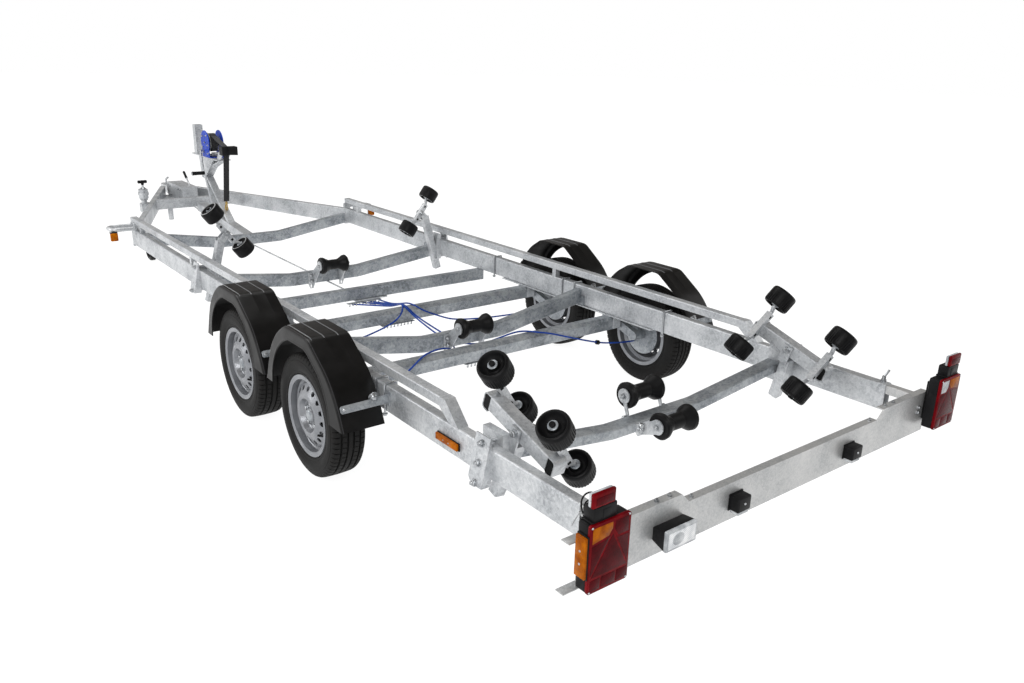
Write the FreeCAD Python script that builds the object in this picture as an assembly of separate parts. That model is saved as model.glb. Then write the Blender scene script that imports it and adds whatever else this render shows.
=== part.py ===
import FreeCAD, Part
import math
import os

# Boat trailer with two torsion axles, in mm.
# X points right, Y points forward to the coupling and Z points up.
# Y is counted from the rear axle's wheel centres until the last lines,
# which move everything so that the middle of the length lies at Y 0.
# The tyres stand on Z 0.

# Wheels: 14 inch rims with 185/65 tyres
tyre_radius = 298.0
tyre_width = 172.0
rim_share = 0.5973
bead_radius = tyre_radius * rim_share
rim_flange_radius = bead_radius + 17.0
rim_width = 140.0
rim_sheet = 4.0
rim_well_radius = bead_radius - 20.0
disc_crown = 75.0
disc_crown_radius = rim_well_radius * 0.582
disc_bowl_radius = disc_crown_radius - 20.0
disc_bowl_depth = 30.0
vent_count = 16
vent_circle_radius = rim_well_radius - 28.0
vent_radius = vent_circle_radius * 0.0923
drum_radius = rim_well_radius - 38.0
drum_width = 82.0
hub_radius = 34.0
wheel_bore_radius = 18.0
wheel_x = 1094.0
axle_spacing = 840.0

# Torsion axles
axle_lead = 155.0
axle_tube_depth = 88.0
axle_tube_height = 74.0
axle_shoulder_height = 58.0
axle_flat_half = 24.0
axle_tube_wall = 8.0
axle_plate_thickness = 6.0
swing_arm_thickness = 40.0
swing_arm_height = 56.0
spindle_boss_radius = 30.0
spindle_boss_length = 40.0
backplate_thickness = 6.0
stub_radius_clearance = 0.05
spindle_reach = 14.0
hub_cap_reach = 22.0

# Main rails and the guard tubes above them
rail_outer_x = 956.0
rail_width = 50.0
rail_bottom = 402.0
rail_height = 125.0
rail_wall = 4.0
rail_corner = 7.0
rail_rear_y = -1632.0
rail_front_y = 3655.0
guard_gap = 50.0
guard_height = 42.0
guard_wall = 3.0
guard_corner = 5.0
guard_rear_y = -838.0
guard_slope_run = 92.0
end_plate_thickness = 8.0
spacer_length = 34.0
spacer_y = [3440.0, 2250.0, 700.0]

# V-shaped drawbar
arm_angle = 21.4
arm_width = 50.0
arm_wall = 5.0
arm_corner = 7.0
arm_front_y = 5760.0
arm_rear_height = 142.0
arm_front_height = 112.0
crossbar_y = 4930.0
crossbar_width = 50.0
crossbar_height = 90.0
spine_width = 80.0
spine_height = 80.0
spine_front_top = 481.0
stub_tube_x = -285.0
stub_tube_radius = 23.0
stub_tube_length = 106.0
coupling_plate_thickness = 8.0
coupling_plate_rear_y = 5240.0

# Crossmembers
cross_width = 50.0
cross_height = 88.0
cross_wall = 4.0
cross_corner = 6.0
cross_bend = 280.0
cross_flat_half = 270.0
front_cross_flat_top = 380.0
front_cross_end_top = 490.0
keel_front_y = 2230.0
keel_front_flat_top = 372.0
keel_front_end_top = 452.0
keel_middle_y = 440.0
keel_middle_flat_top = 394.0
keel_middle_end_top = 505.0
axle_cross_y = 1545.0
axle_cross_height = 80.0
keel_rear_y = -1060.0
keel_rear_flat_top = 408.0
keel_rear_end_top = 480.0
keel_rear_depth = 78.0
keel_rear_height = 46.0
lug_length = 110.0
lug_thickness = 8.0

# Keel rollers
keel_roller_length = 200.0
keel_roller_end_radius = 60.0
keel_roller_waist_radius = 36.0
keel_pin_radius = 12.0
keel_bracket_thickness = 6.0
keel_bracket_clearance = 3.0
keel_bracket_half_width = 34.0
keel_bracket_foot = 38.0
keel_bracket_toe = 26.0
keel_slot = (11.0, 24.0)
keel_bracket_drop = 34.0
keel_rear_bracket_drop = 18.0
keel_front_roller = (2075.0, 440.0)
keel_middle_roller = (316.0, 444.0)
keel_rear_roller_a = (-983.0, 486.0)
keel_rear_roller_b = (-1190.0, 412.0)

# Side rollers in coaxial pairs, tilted up towards the outside
side_tilt = 53.0
side_spacing = 306.0
side_roller_radius = 65.0
side_roller_width = 86.0
side_roller_shoulder = 12.0
side_pin_radius = 10.0
side_axis_offset = 66.0
rocker_offset = 46.0
rocker_length = 150.0
rocker_width = 34.0
rocker_depth = 30.0
rocker_pin_radius = 8.0
beam_width = 60.0
beam_height = 66.0
beam_wall = 4.0
beam_corner = 6.0
beam_slope = 18.0
beam_half_length = 180.0
beam_pin_radius = 14.0
pair_reach = 184.0
post_size = 50.0
post_wall = 4.0
post_corner = 6.0
front_post_y = 2094.0
front_post_top = (786.0, 716.0)
front_post_lean = 14.7
front_post_bottom = 300.0
rear_post_top = (832.0, -1177.0, 583.0)
rear_post_lean = 9.5
rear_post_length = 300.0
clamp_thickness = 6.0
clamp_block = 34.0
clamp_bolt_radius = 8.0
clamp_lean = 12.0
clamp_drop = 24.0
clamp_wing_width = 90.0
front_clamp = (2049.0, 2139.0)
rear_clamp = (-1151.0, -1025.0)
rocker_play = 1.5
cheek_thickness = 8.0
cheek_radius = 20.0
yoke_drop = 24.0
yoke_base = 14.0

# Mudguards
guard_outer_x = 1206.0
guard_inner_x = 1000.0
guard_sheet = 4.0
guard_opening_radius = 300.0
guard_opening_z = 365.0
guard_opening_shift = -10.0
mudguard_length = 808.0
mudguard_shift = -34.0
mudguard_bottom = 380.0
mudguard_top = 714.0
stay_height = 34.0
stay_thickness = 6.0
stay_z = 472.0
stay_inset = 16.0
stay_foot = 44.0

# Overrun device, coupling and jockey wheel
housing_half_width = 74.0
housing_rear_y = 5215.0
housing_front_y = 5690.0
housing_bottom = 438.0
housing_top = 582.0
shaft_radius = 30.0
coupling_axis_z = 486.0
gaiter_length = 120.0
gaiter_radius = 47.0
gaiter_wall = 3.0
head_length = 250.0
head_half_width = 46.0
ball_radius = 25.5
ball_depth = 30.0
lever_rod_radius = 8.0
jockey_y = 4800.0
jockey_tube_radius = 24.0
jockey_inner_radius = 20.0
jockey_clearance = 0.08
jockey_top = 662.0
jockey_tube_bottom = 300.0
jockey_wheel_radius = 100.0
jockey_wheel_width = 60.0
jockey_trail = 45.0
jockey_pin_radius = 8.0

# Winch post, winch and bow stop
post_head_y = 4650.0
post_head_z = 806.0
leg_width = 60.0
leg_depth = 40.0
leg_front_foot_y = 4464.0
leg_rear_foot_y = 4114.0
shelf_z = 958.0
shelf_half_width = 62.0
shelf_front_y = 4838.0
shelf_rear_y = 4170.0
shelf_thickness = 8.0
upright_size = 70.0
upright_top = 1215.0
winch_y = 4430.0
winch_z = 1088.0
winch_plate_radius = 106.0
winch_plate_thickness = 5.0
winch_half_width = 66.0
drum_core_radius = 30.0
strap_wound_radius = 68.0
strap_width = 50.0
strap_thickness = 4.0
crank_arm_length = 235.0
crank_drop = 74.0
crank_shaft_radius = 9.0
bow_stop_y = 4034.0
bow_stop_z = 1050.0
bow_stop_half_width = 68.0
bow_stop_height = 72.0
bow_stop_depth = 76.0
carrier_thickness = 6.0
carrier_gap = 5.0
guide_pin_y = 4094.0
guide_pin_z = 1062.0
guide_pin_radius = 8.0
strap_end = (4190.0, 590.0)
strap_drum_gap = 6.0
hook_ring_radius = 14.0
hook_wire_radius = 6.0
strap_seat = 0.2

# Light board
board_y = -1780.0
board_overhang = 44.0
board_half_length = rail_outer_x + board_overhang
board_bottom = 338.0
board_high_top = 527.0
board_low_top = 488.0
board_step_x = 590.0
board_thickness = 4.0
board_flange = 34.0
slide_clearance = 0.3
slide_wall = 3.0
slide_corner = 4.0
slide_inside = 420.0

# Lamps on the light board, as (x0, x1, y0, y1, z0, z1) of the right side
lamp_depth = 76.0
lamp_body = (950.0, 1118.0, -1856.0, -1796.0, 373.0, 608.0)
lamp_base = (972.0, 1088.0, -1796.0, -1780.0, 400.0, 580.0)
lamp_side_marker = (1118.0, 1131.0, -1850.0, -1803.0, 428.0, 569.0)
lamp_stalk = (1005.0, 1100.0, -1846.0, -1800.0, 608.0, 657.0)
lamp_top_marker = (1012.0, 1106.0, -1846.0, -1821.0, 657.0, 705.0)
lamp_corner = 12.0
reverse_lamp_back = (-763.0, -616.0, 401.0, 450.0)
reverse_lamp_face = (-760.0, -613.0, 378.0, 455.0)
reverse_lamp_depth = 62.0
plate_lamps = ((-370.0, -300.0, 372.0, 442.0), (355.0, 425.0, 368.0, 436.0))
plate_lamp_depth = 45.0
rail_lamp = (-945.0, -789.0, 437.0, 471.0)
rail_lamp_depth = 16.0

# Brake rod, equaliser and cables
rod_x = 24.0
rod_radius = 6.0
rod_drop = 40.0
rod_bend = 300.0
rod_clearance = 4.0
eq_half_width = 120.0
eq_thickness = 8.0
cable_radius = 5.0
cable_bend = 40.0

# Clearances
running_clearance = 0.05


def box(x0, x1, y0, y1, z0, z1):
    return Part.makeBox(x1 - x0, y1 - y0, z1 - z0, FreeCAD.Vector(x0, y0, z0))


def vec(x, y, z):
    return FreeCAD.Vector(x, y, z)


def rod(start, end, radius):
    a = vec(*start)
    b = vec(*end)
    d = b - a
    return Part.makeCylinder(radius, d.Length, a, d)


def fuse(shapes):
    result = shapes[0]
    if len(shapes) > 1:
        result = shapes[0].multiFuse(shapes[1:])
    return result.removeSplitter()


def prism_x(points, x0, x1):
    wire = Part.makePolygon([vec(x0, y, z) for y, z in points + points[:1]])
    return Part.Face(wire).extrude(vec(x1 - x0, 0, 0))


def prism_y(points, y0, y1):
    wire = Part.makePolygon([vec(x, y0, z) for x, z in points + points[:1]])
    return Part.Face(wire).extrude(vec(0, y1 - y0, 0))


def prism_z(points, z0, z1):
    wire = Part.makePolygon([vec(x, y, z0) for x, y in points + points[:1]])
    return Part.Face(wire).extrude(vec(0, 0, z1 - z0))


def turned(profile, centre, axis):
    """Revolve (along, radius) points about an axis through centre."""
    pts = [vec(r, 0, a) for a, r in profile]
    face = Part.Face(Part.makePolygon(pts + pts[:1]))
    solid = face.revolve(vec(0, 0, 0), vec(0, 0, 1), 360)
    turn = FreeCAD.Rotation(vec(0, 0, 1), vec(*axis))
    solid.Placement = FreeCAD.Placement(vec(*centre), turn)
    return solid


def mirrored(shape):
    return shape.mirror(vec(0, 0, 0), vec(1, 0, 0))


def side_pick(shape, side):
    """Shapes are made for the right side; side -1 gives the left one."""
    return shape if side > 0 else mirrored(shape)


def rounded(a0, a1, b0, b1, radius, point):
    """Wire of a rectangle with rounded corners; point(a, b) puts it in space."""
    k = radius * (1 - math.sqrt(0.5))
    corners = [((a1 - radius, b0), (a1 - k, b0 + k), (a1, b0 + radius)),
               ((a1, b1 - radius), (a1 - k, b1 - k), (a1 - radius, b1)),
               ((a0 + radius, b1), (a0 + k, b1 - k), (a0, b1 - radius)),
               ((a0, b0 + radius), (a0 + k, b0 + k), (a0 + radius, b0))]
    edges = []
    last = point(*corners[-1][-1])
    for corner in corners:
        a, mid, b = (point(*p) for p in corner)
        edges += [Part.makeLine(last, a), Part.Arc(a, mid, b).toShape()]
        last = b
    return Part.Wire(edges)


def tube_run(a, b, wall, corner, point, run):
    """Rounded tube; a and b are the limits of its section and run is its length."""
    inside = max(corner - wall, 1.5)
    outer = Part.Face(rounded(a[0], a[1], b[0], b[1], corner, point)).extrude(run)
    inner = Part.Face(rounded(a[0] + wall, a[1] - wall, b[0] + wall, b[1] - wall,
                              inside, point)).extrude(run)
    return outer.cut(inner)


def soft_box(size, corner, axis="y"):
    """Box (x0, x1, y0, y1, z0, z1) with its edges along one axis rounded."""
    x0, x1, y0, y1, z0, z1 = size
    if axis == "y":
        wire = rounded(x0, x1, z0, z1, corner, lambda a, b: vec(a, y0, b))
        return Part.Face(wire).extrude(vec(0, y1 - y0, 0))
    if axis == "x":
        wire = rounded(y0, y1, z0, z1, corner, lambda a, b: vec(x0, a, b))
        return Part.Face(wire).extrude(vec(x1 - x0, 0, 0))
    wire = rounded(x0, x1, y0, y1, corner, lambda a, b: vec(a, b, z0))
    return Part.Face(wire).extrude(vec(0, 0, z1 - z0))


def bent_path(points, bend):
    """Wire through points, with arcs of the bend radius at corners."""
    pts = [vec(*p) for p in points]
    edges = []
    last = pts[0]
    for i in range(1, len(pts) - 1):
        d_in = (pts[i] - pts[i - 1]).normalize()
        d_out = (pts[i + 1] - pts[i]).normalize()
        angle = d_in.getAngle(d_out)
        if angle < 0.01:
            continue
        cut = bend * math.tan(angle / 2)
        a = pts[i] - d_in * cut
        b = pts[i] + d_out * cut
        mid_dir = (d_out - d_in).normalize()
        centre = pts[i] + mid_dir * (bend / math.cos(angle / 2))
        mid = centre - mid_dir * bend
        edges.append(Part.makeLine(last, a))
        edges.append(Part.Arc(a, mid, b).toShape())
        last = b
    edges.append(Part.makeLine(last, pts[-1]))
    return Part.Wire(edges)


def swept_rod(points, bend, radius):
    """Round rod along a bent path."""
    path = bent_path(points, bend)
    start = vec(*points[0])
    ahead = vec(*points[1]) - start
    circle = Part.Wire([Part.makeCircle(radius, start, ahead)])
    return path.makePipeShell([circle], True, False)


parts = {}

rail_inner_x = rail_outer_x - rail_width
rail_mid_x = rail_outer_x - rail_width / 2
rail_top = rail_bottom + rail_height
guard_bottom = rail_top + guard_gap
guard_top = guard_bottom + guard_height
front_plate_y = rail_front_y + end_plate_thickness
front_axle_y = axle_spacing


def tube_y(x0, x1, y0, y1, z0, z1, wall, corner):
    return tube_run((x0, x1), (z0, z1), wall, corner, lambda a, b: vec(a, y0, b),
                    vec(0, y1 - y0, 0))


# Rails with their guard tubes, spacers, end plates and front lamp loops
loop_z = 545.0
loop_reach = 172.0
loop_rear_y = 3560.0
loop_front_y = 3690.0
loop_tube_radius = 16.0
loop_bend = 45.0


def make_rail():
    rail = tube_y(rail_inner_x, rail_outer_x, rail_rear_y, rail_front_y,
                  rail_bottom, rail_top, rail_wall, rail_corner)
    guard = tube_y(rail_inner_x, rail_outer_x, guard_rear_y, rail_front_y,
                   guard_bottom, guard_top, guard_wall, guard_corner)
    slope = prism_x([(guard_rear_y, guard_top),
                     (guard_rear_y - guard_slope_run, rail_top),
                     (guard_rear_y - guard_slope_run + 60, rail_top),
                     (guard_rear_y + 38, guard_bottom),
                     (guard_rear_y + 38, guard_top)],
                    rail_inner_x, rail_outer_x)
    plate = box(rail_inner_x, rail_outer_x, rail_front_y, front_plate_y,
                rail_bottom, guard_top)
    pieces = [rail, guard, slope, plate]
    for y in spacer_y:
        pieces.append(box(rail_inner_x + 8, rail_outer_x - 8, y - spacer_length / 2,
                          y + spacer_length / 2, rail_top, guard_bottom))
    x_in = rail_outer_x - 4
    x_out = rail_outer_x + loop_reach
    loop = swept_rod([(x_in, loop_rear_y, loop_z), (x_out, loop_rear_y, loop_z),
                      (x_out, loop_front_y, loop_z),
                      (x_in - 40, loop_front_y, loop_z)], loop_bend, loop_tube_radius)
    pieces.append(loop)
    tab = box(rail_outer_x - 40, rail_outer_x - 4, rail_front_y, loop_front_y + 20,
              rail_top, loop_z + 22)
    rear_tab = box(rail_outer_x - 8, rail_outer_x + 6, loop_rear_y - 28,
                   loop_rear_y + 28, rail_top - 30, guard_bottom + 12)
    pieces += [tab, rear_tab]
    return fuse(pieces)


rail_right = make_rail()
parts["rail_right"] = rail_right
parts["rail_left"] = mirrored(rail_right)

# Drawbar arms, tapered box section
arm_slope = math.tan(math.radians(arm_angle))
arm_plan_width = arm_width / math.cos(math.radians(arm_angle))


def arm_outer_x(y):
    return rail_outer_x - (y - front_plate_y) * arm_slope


def arm_inner_x(y):
    return arm_outer_x(y) - arm_plan_width


def make_arm():
    rear = front_plate_y
    side = [(rear, rail_top), (rear, rail_top - arm_rear_height),
            (arm_front_y, rail_top - arm_front_height), (arm_front_y, rail_top)]
    hollow = [(rear + 10, rail_top - arm_wall),
              (rear + 10, rail_top - arm_rear_height + arm_wall),
              (arm_front_y + 1, rail_top - arm_front_height + arm_wall),
              (arm_front_y + 1, rail_top - arm_wall)]
    plan = [(arm_inner_x(rear), rear), (arm_outer_x(rear), rear),
            (arm_outer_x(arm_front_y), arm_front_y),
            (arm_inner_x(arm_front_y), arm_front_y)]
    wall = arm_wall / math.cos(math.radians(arm_angle))
    front = arm_front_y + 1
    plan_hollow = [(arm_inner_x(rear) + wall, rear), (arm_outer_x(rear) - wall, rear),
                   (arm_outer_x(front) - wall, front),
                   (arm_inner_x(front) + wall, front)]
    low = rail_top - arm_rear_height - 1
    high = rail_top + 1
    far = arm_outer_x(rear) + 1
    solid = prism_z(plan, low, high).common(prism_x(side, 0, far))
    long_edges = [e for e in solid.Edges if e.Length > 0.5 * (arm_front_y - rear)]
    solid = solid.makeFillet(arm_corner, long_edges)
    space = prism_z(plan_hollow, low, high).common(prism_x(hollow, 0, far))
    return solid.cut(space)


arm_right = make_arm()
parts["drawbar_arm_right"] = arm_right
parts["drawbar_arm_left"] = mirrored(arm_right)

# Crossbar, spine and apex plate of the drawbar
front_cross_rear_y = front_plate_y
front_cross_front_y = front_cross_rear_y + cross_width
bar_rear = crossbar_y - crossbar_width / 2
bar_front = crossbar_y + crossbar_width / 2
bar_z0 = rail_top - crossbar_height


def make_spine():
    def trapezoid(y0, y1, inset):
        return [(-arm_inner_x(y0) + inset, y0), (arm_inner_x(y0) - inset, y0),
                (arm_inner_x(y1) - inset, y1), (-arm_inner_x(y1) + inset, y1)]

    bar = prism_z(trapezoid(bar_rear, bar_front, 0), bar_z0, rail_top)
    inner = prism_z(trapezoid(bar_rear + 5, bar_front - 5, 5), bar_z0 + 5, rail_top - 5)
    bar = bar.cut(inner)
    rear_top = front_cross_flat_top - 2
    outline = [(bar_rear, spine_front_top), (bar_rear, spine_front_top - spine_height),
               (front_cross_front_y, rear_top - spine_height),
               (front_cross_front_y, rear_top)]
    hollow = [(bar_rear - 5, spine_front_top - 5),
              (bar_rear - 5, spine_front_top - spine_height + 5),
              (front_cross_front_y + 5, rear_top - spine_height + 5),
              (front_cross_front_y + 5, rear_top - 5)]
    half = spine_width / 2
    spine = prism_x(outline, -half, half).cut(prism_x(hollow, -half + 5, half - 5))
    stub = rod((stub_tube_x, crossbar_y, bar_z0 - stub_tube_length),
               (stub_tube_x, crossbar_y, bar_z0 + 1), stub_tube_radius)
    stub = stub.cut(rod((stub_tube_x, crossbar_y, bar_z0 - stub_tube_length - 1),
                        (stub_tube_x, crossbar_y, bar_z0), stub_tube_radius - 4))
    plate = prism_z(trapezoid(coupling_plate_rear_y, arm_front_y - 20, 0),
                    housing_bottom - coupling_plate_thickness, housing_bottom)
    return fuse([bar, spine, stub]), plate


spine_solid, apex_plate = make_spine()
parts["drawbar_spine"] = Part.makeCompound([spine_solid, apex_plate])


# Crossmembers
def bent_member(y, end_x, flat_top, end_top, height, lug, depth=cross_width):
    """Rounded tube, level in the middle and rising to its ends, cut off at end_x."""
    past = 20.0
    flat = flat_top - height / 2
    slope = (end_top - flat_top) / (end_x - cross_flat_half)
    high = flat + slope * (end_x + past - cross_flat_half)
    path = bent_path([(-end_x - past, y, high), (-cross_flat_half, y, flat),
                      (cross_flat_half, y, flat), (end_x + past, y, high)], cross_bend)
    fall = math.atan(slope)
    start = vec(-end_x - past, y, high)
    across = vec(0, 1, 0)
    up = vec(math.sin(fall), 0, math.cos(fall))

    def section(inset, corner):
        return rounded(-depth / 2 + inset, depth / 2 - inset, -height / 2 + inset,
                       height / 2 - inset, corner, lambda a, b: start + across * a + up * b)

    outer = path.makePipeShell([section(0, cross_corner)], True, False)
    inner = path.makePipeShell([section(cross_wall, cross_corner - cross_wall)], True,
                               False)
    limits = box(-end_x, end_x, y - depth, y + depth, 0, guard_top)
    member = outer.cut(inner).common(limits)
    if lug:
        for side in (-1, 1):
            x0 = end_x - lug_thickness
            plate = box(x0, end_x, y - lug_length / 2, y + lug_length / 2,
                        rail_bottom, rail_bottom + 62)
            member = member.fuse(side_pick(plate, side))
        member = member.removeSplitter()
    return member


def make_front_cross():
    member = bent_member(front_cross_rear_y + cross_width / 2, rail_outer_x,
                         front_cross_flat_top, front_cross_end_top, cross_height, False)
    y0 = front_cross_rear_y
    y1 = front_cross_front_y
    keep = prism_z([(-arm_inner_x(y0), y0), (arm_inner_x(y0), y0),
                    (arm_inner_x(y1), y1), (-arm_inner_x(y1), y1)], 200, 700)
    return member.common(keep)


parts["crossmember_front"] = make_front_cross()
keel_front_member = bent_member(keel_front_y, rail_inner_x, keel_front_flat_top,
                                keel_front_end_top, cross_height, True)
keel_middle_member = bent_member(keel_middle_y, rail_inner_x, keel_middle_flat_top,
                                 keel_middle_end_top, cross_height, True)
parts["crossmember_keel_front"] = keel_front_member
parts["crossmember_keel_middle"] = keel_middle_member
axle_cross_end = rail_outer_x - 20
parts["crossmember_axle"] = tube_run(
    (axle_cross_y - cross_width / 2, axle_cross_y + cross_width / 2),
    (rail_bottom - axle_cross_height, rail_bottom), cross_wall, cross_corner,
    lambda a, b: vec(-axle_cross_end, a, b), vec(2 * axle_cross_end, 0, 0))
parts["crossmember_keel_rear"] = bent_member(keel_rear_y, rail_inner_x - clamp_block,
                                             keel_rear_flat_top, keel_rear_end_top,
                                             keel_rear_height, False, keel_rear_depth)

# Keel rollers and their bracket plates
plate_x0 = keel_roller_length / 2 + keel_bracket_clearance


def keel_plate(roller, member_y, member_top, member_height, half_depth, drop):
    """Folded side plate from the roller pin to the face of its crossmember."""
    y, z = roller
    behind = y < member_y
    face = member_y - half_depth if behind else member_y + half_depth
    t = keel_bracket_thickness
    w = keel_bracket_half_width
    low = member_top - member_height - drop
    high = member_top - cross_corner
    head = Part.makeCylinder(w, t, vec(plate_x0, y, z), vec(1, 0, 0))
    tail = prism_x([(y, z + w), (face, high), (face, low), (y, z - w)],
                   plate_x0, plate_x0 + t)
    foot_y0 = face - t if behind else face
    foot = prism_y([(plate_x0, high), (plate_x0 + keel_bracket_foot, high),
                    (plate_x0 + keel_bracket_foot, low + drop),
                    (plate_x0 + keel_bracket_toe, low), (plate_x0, low)],
                   foot_y0, foot_y0 + t)
    if drop > keel_slot[1]:
        slot_x = plate_x0 + keel_bracket_toe - keel_slot[0] - 3
        foot = foot.cut(box(slot_x, slot_x + keel_slot[0], foot_y0 - 1, foot_y0 + t + 1,
                            low + 5, low + 5 + keel_slot[1]))
    return fuse([head, tail, foot])


keel_sets = [
    (keel_front_roller, keel_front_y, keel_front_flat_top, cross_height,
     cross_width / 2, keel_bracket_drop),
    (keel_middle_roller, keel_middle_y, keel_middle_flat_top, cross_height,
     cross_width / 2, keel_bracket_drop),
    (keel_rear_roller_a, keel_rear_y, keel_rear_flat_top, keel_rear_height,
     keel_rear_depth / 2, 0.0),
    (keel_rear_roller_b, keel_rear_y, keel_rear_flat_top, keel_rear_height,
     keel_rear_depth / 2, keel_rear_bracket_drop)]
bracket_solids = []
for roller, member_y, top, height, half, drop in keel_sets:
    plate = keel_plate(roller, member_y, top, height, half, drop)
    y, z = roller
    pin = rod((-plate_x0 - 1, y, z), (plate_x0 + 1, y, z), keel_pin_radius)
    bracket_solids.append(fuse([plate, mirrored(plate), pin]))
parts["keel_brackets"] = Part.makeCompound(bracket_solids)

half_len = keel_roller_length / 2
bore = keel_pin_radius + running_clearance
keel_profile = [(-half_len, bore), (-half_len, keel_roller_end_radius - 6),
                (-half_len + 8, keel_roller_end_radius),
                (-half_len + 24, keel_roller_end_radius - 2),
                (-half_len + 52, keel_roller_waist_radius + 6),
                (-half_len + 66, keel_roller_waist_radius)]
keel_profile += [(-a, r) for a, r in reversed(keel_profile)]
for name, roller in (("front", keel_front_roller), ("middle", keel_middle_roller),
                     ("rear_a", keel_rear_roller_a), ("rear_b", keel_rear_roller_b)):
    parts["keel_roller_" + name] = turned(keel_profile, (0, roller[0], roller[1]),
                                          (1, 0, 0))

# Torsion axles, each with tube, swing arms, stub spindles and backplates
axle_tube_x = rail_outer_x + 4
axle_top = rail_bottom - axle_plate_thickness
axle_low = axle_top - axle_tube_height
arm_x0 = axle_tube_x
arm_x1 = arm_x0 + swing_arm_thickness
backplate_x = arm_x1 + spindle_boss_length
drum_face_x = disc_crown - disc_bowl_depth - rim_sheet
stub_radius = wheel_bore_radius - stub_radius_clearance


def axle_section(centre_y, inset):
    """Outline of the axle tube, with its two upper corners pressed in."""
    half = axle_tube_depth / 2 - inset
    flat = axle_flat_half - inset / 2
    shoulder = axle_low + axle_shoulder_height - inset / 2
    top = axle_top - inset
    return [(centre_y - half, axle_low + inset), (centre_y + half, axle_low + inset),
            (centre_y + half, shoulder), (centre_y + flat, top), (centre_y - flat, top),
            (centre_y - half, shoulder)]


def make_axle(wheel_y):
    yc = wheel_y + axle_lead
    shell = prism_x(axle_section(yc, 0), -axle_tube_x, axle_tube_x)
    shell = shell.cut(prism_x(axle_section(yc, axle_tube_wall), -axle_tube_x - 1,
                              axle_tube_x + 1))
    pieces = [shell]
    zc = (axle_low + axle_top) / 2
    h = swing_arm_height / 2
    spindle_end = wheel_x + drum_face_x + spindle_reach
    for side in (-1, 1):
        swing = prism_x([(yc + h, zc + h), (yc + h, zc - h),
                         (wheel_y, tyre_radius - h), (wheel_y, tyre_radius + h)],
                        arm_x0, arm_x1)
        eye = rod((arm_x0, wheel_y, tyre_radius), (arm_x1, wheel_y, tyre_radius), h)
        plug = prism_x(axle_section(yc, axle_tube_wall), arm_x0 - 40, arm_x0)
        boss = rod((arm_x1, wheel_y, tyre_radius), (backplate_x, wheel_y, tyre_radius),
                   spindle_boss_radius)
        spindle = rod((arm_x0, wheel_y, tyre_radius),
                      (spindle_end, wheel_y, tyre_radius), stub_radius)
        back = rod((backplate_x, wheel_y, tyre_radius),
                   (backplate_x + backplate_thickness, wheel_y, tyre_radius),
                   drum_radius + 6)
        pieces += [side_pick(s, side) for s in (swing, eye, plug, boss, spindle, back)]
    return fuse(pieces)


parts["axle_front"] = make_axle(front_axle_y)
parts["axle_rear"] = make_axle(0.0)

# Angle flanges under the rails, with a gusset at each axle
flange_rear_y = -200.0
flange_front_y = front_axle_y + axle_lead + 240.0
flange_solids = []
for side in (-1, 1):
    flange = box(rail_inner_x - 14, rail_outer_x, flange_rear_y, flange_front_y,
                 axle_top, rail_bottom)
    pieces = [flange]
    for wheel_y in (0.0, front_axle_y):
        for off in (-1, 1):
            y = wheel_y + axle_lead + off * (axle_tube_depth / 2 + 5)
            pieces.append(box(rail_inner_x - 10, rail_outer_x - 4, y - 5, y + 5,
                              axle_top - axle_tube_height + 6, axle_top))
    flange_solids.append(side_pick(fuse(pieces), side))
parts["axle_plates"] = Part.makeCompound(flange_solids)

# Wheels: tyre, and rim with disc, hub and drum
tyre_half = tyre_width / 2
tyre_wall_height = (tyre_radius - bead_radius) * 0.483
tyre_shoulder_height = (tyre_radius - bead_radius) * 0.25
rim_half = rim_width / 2
tyre_profile = [(-rim_half + rim_sheet, bead_radius),
                (-rim_half + rim_sheet, rim_flange_radius),
                (-rim_half - 3, rim_flange_radius + 8),
                (-tyre_half, tyre_radius - tyre_wall_height),
                (-tyre_half + 4, tyre_radius - tyre_shoulder_height),
                (-tyre_half + 22, tyre_radius - 6), (-tyre_half + 46, tyre_radius),
                (0, tyre_radius)]
tyre_profile += [(-a, r) for a, r in reversed(tyre_profile[:-1])]


def make_tyre(x, y):
    return turned(tyre_profile, (x, y, tyre_radius), (1, 0, 0))


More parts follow.
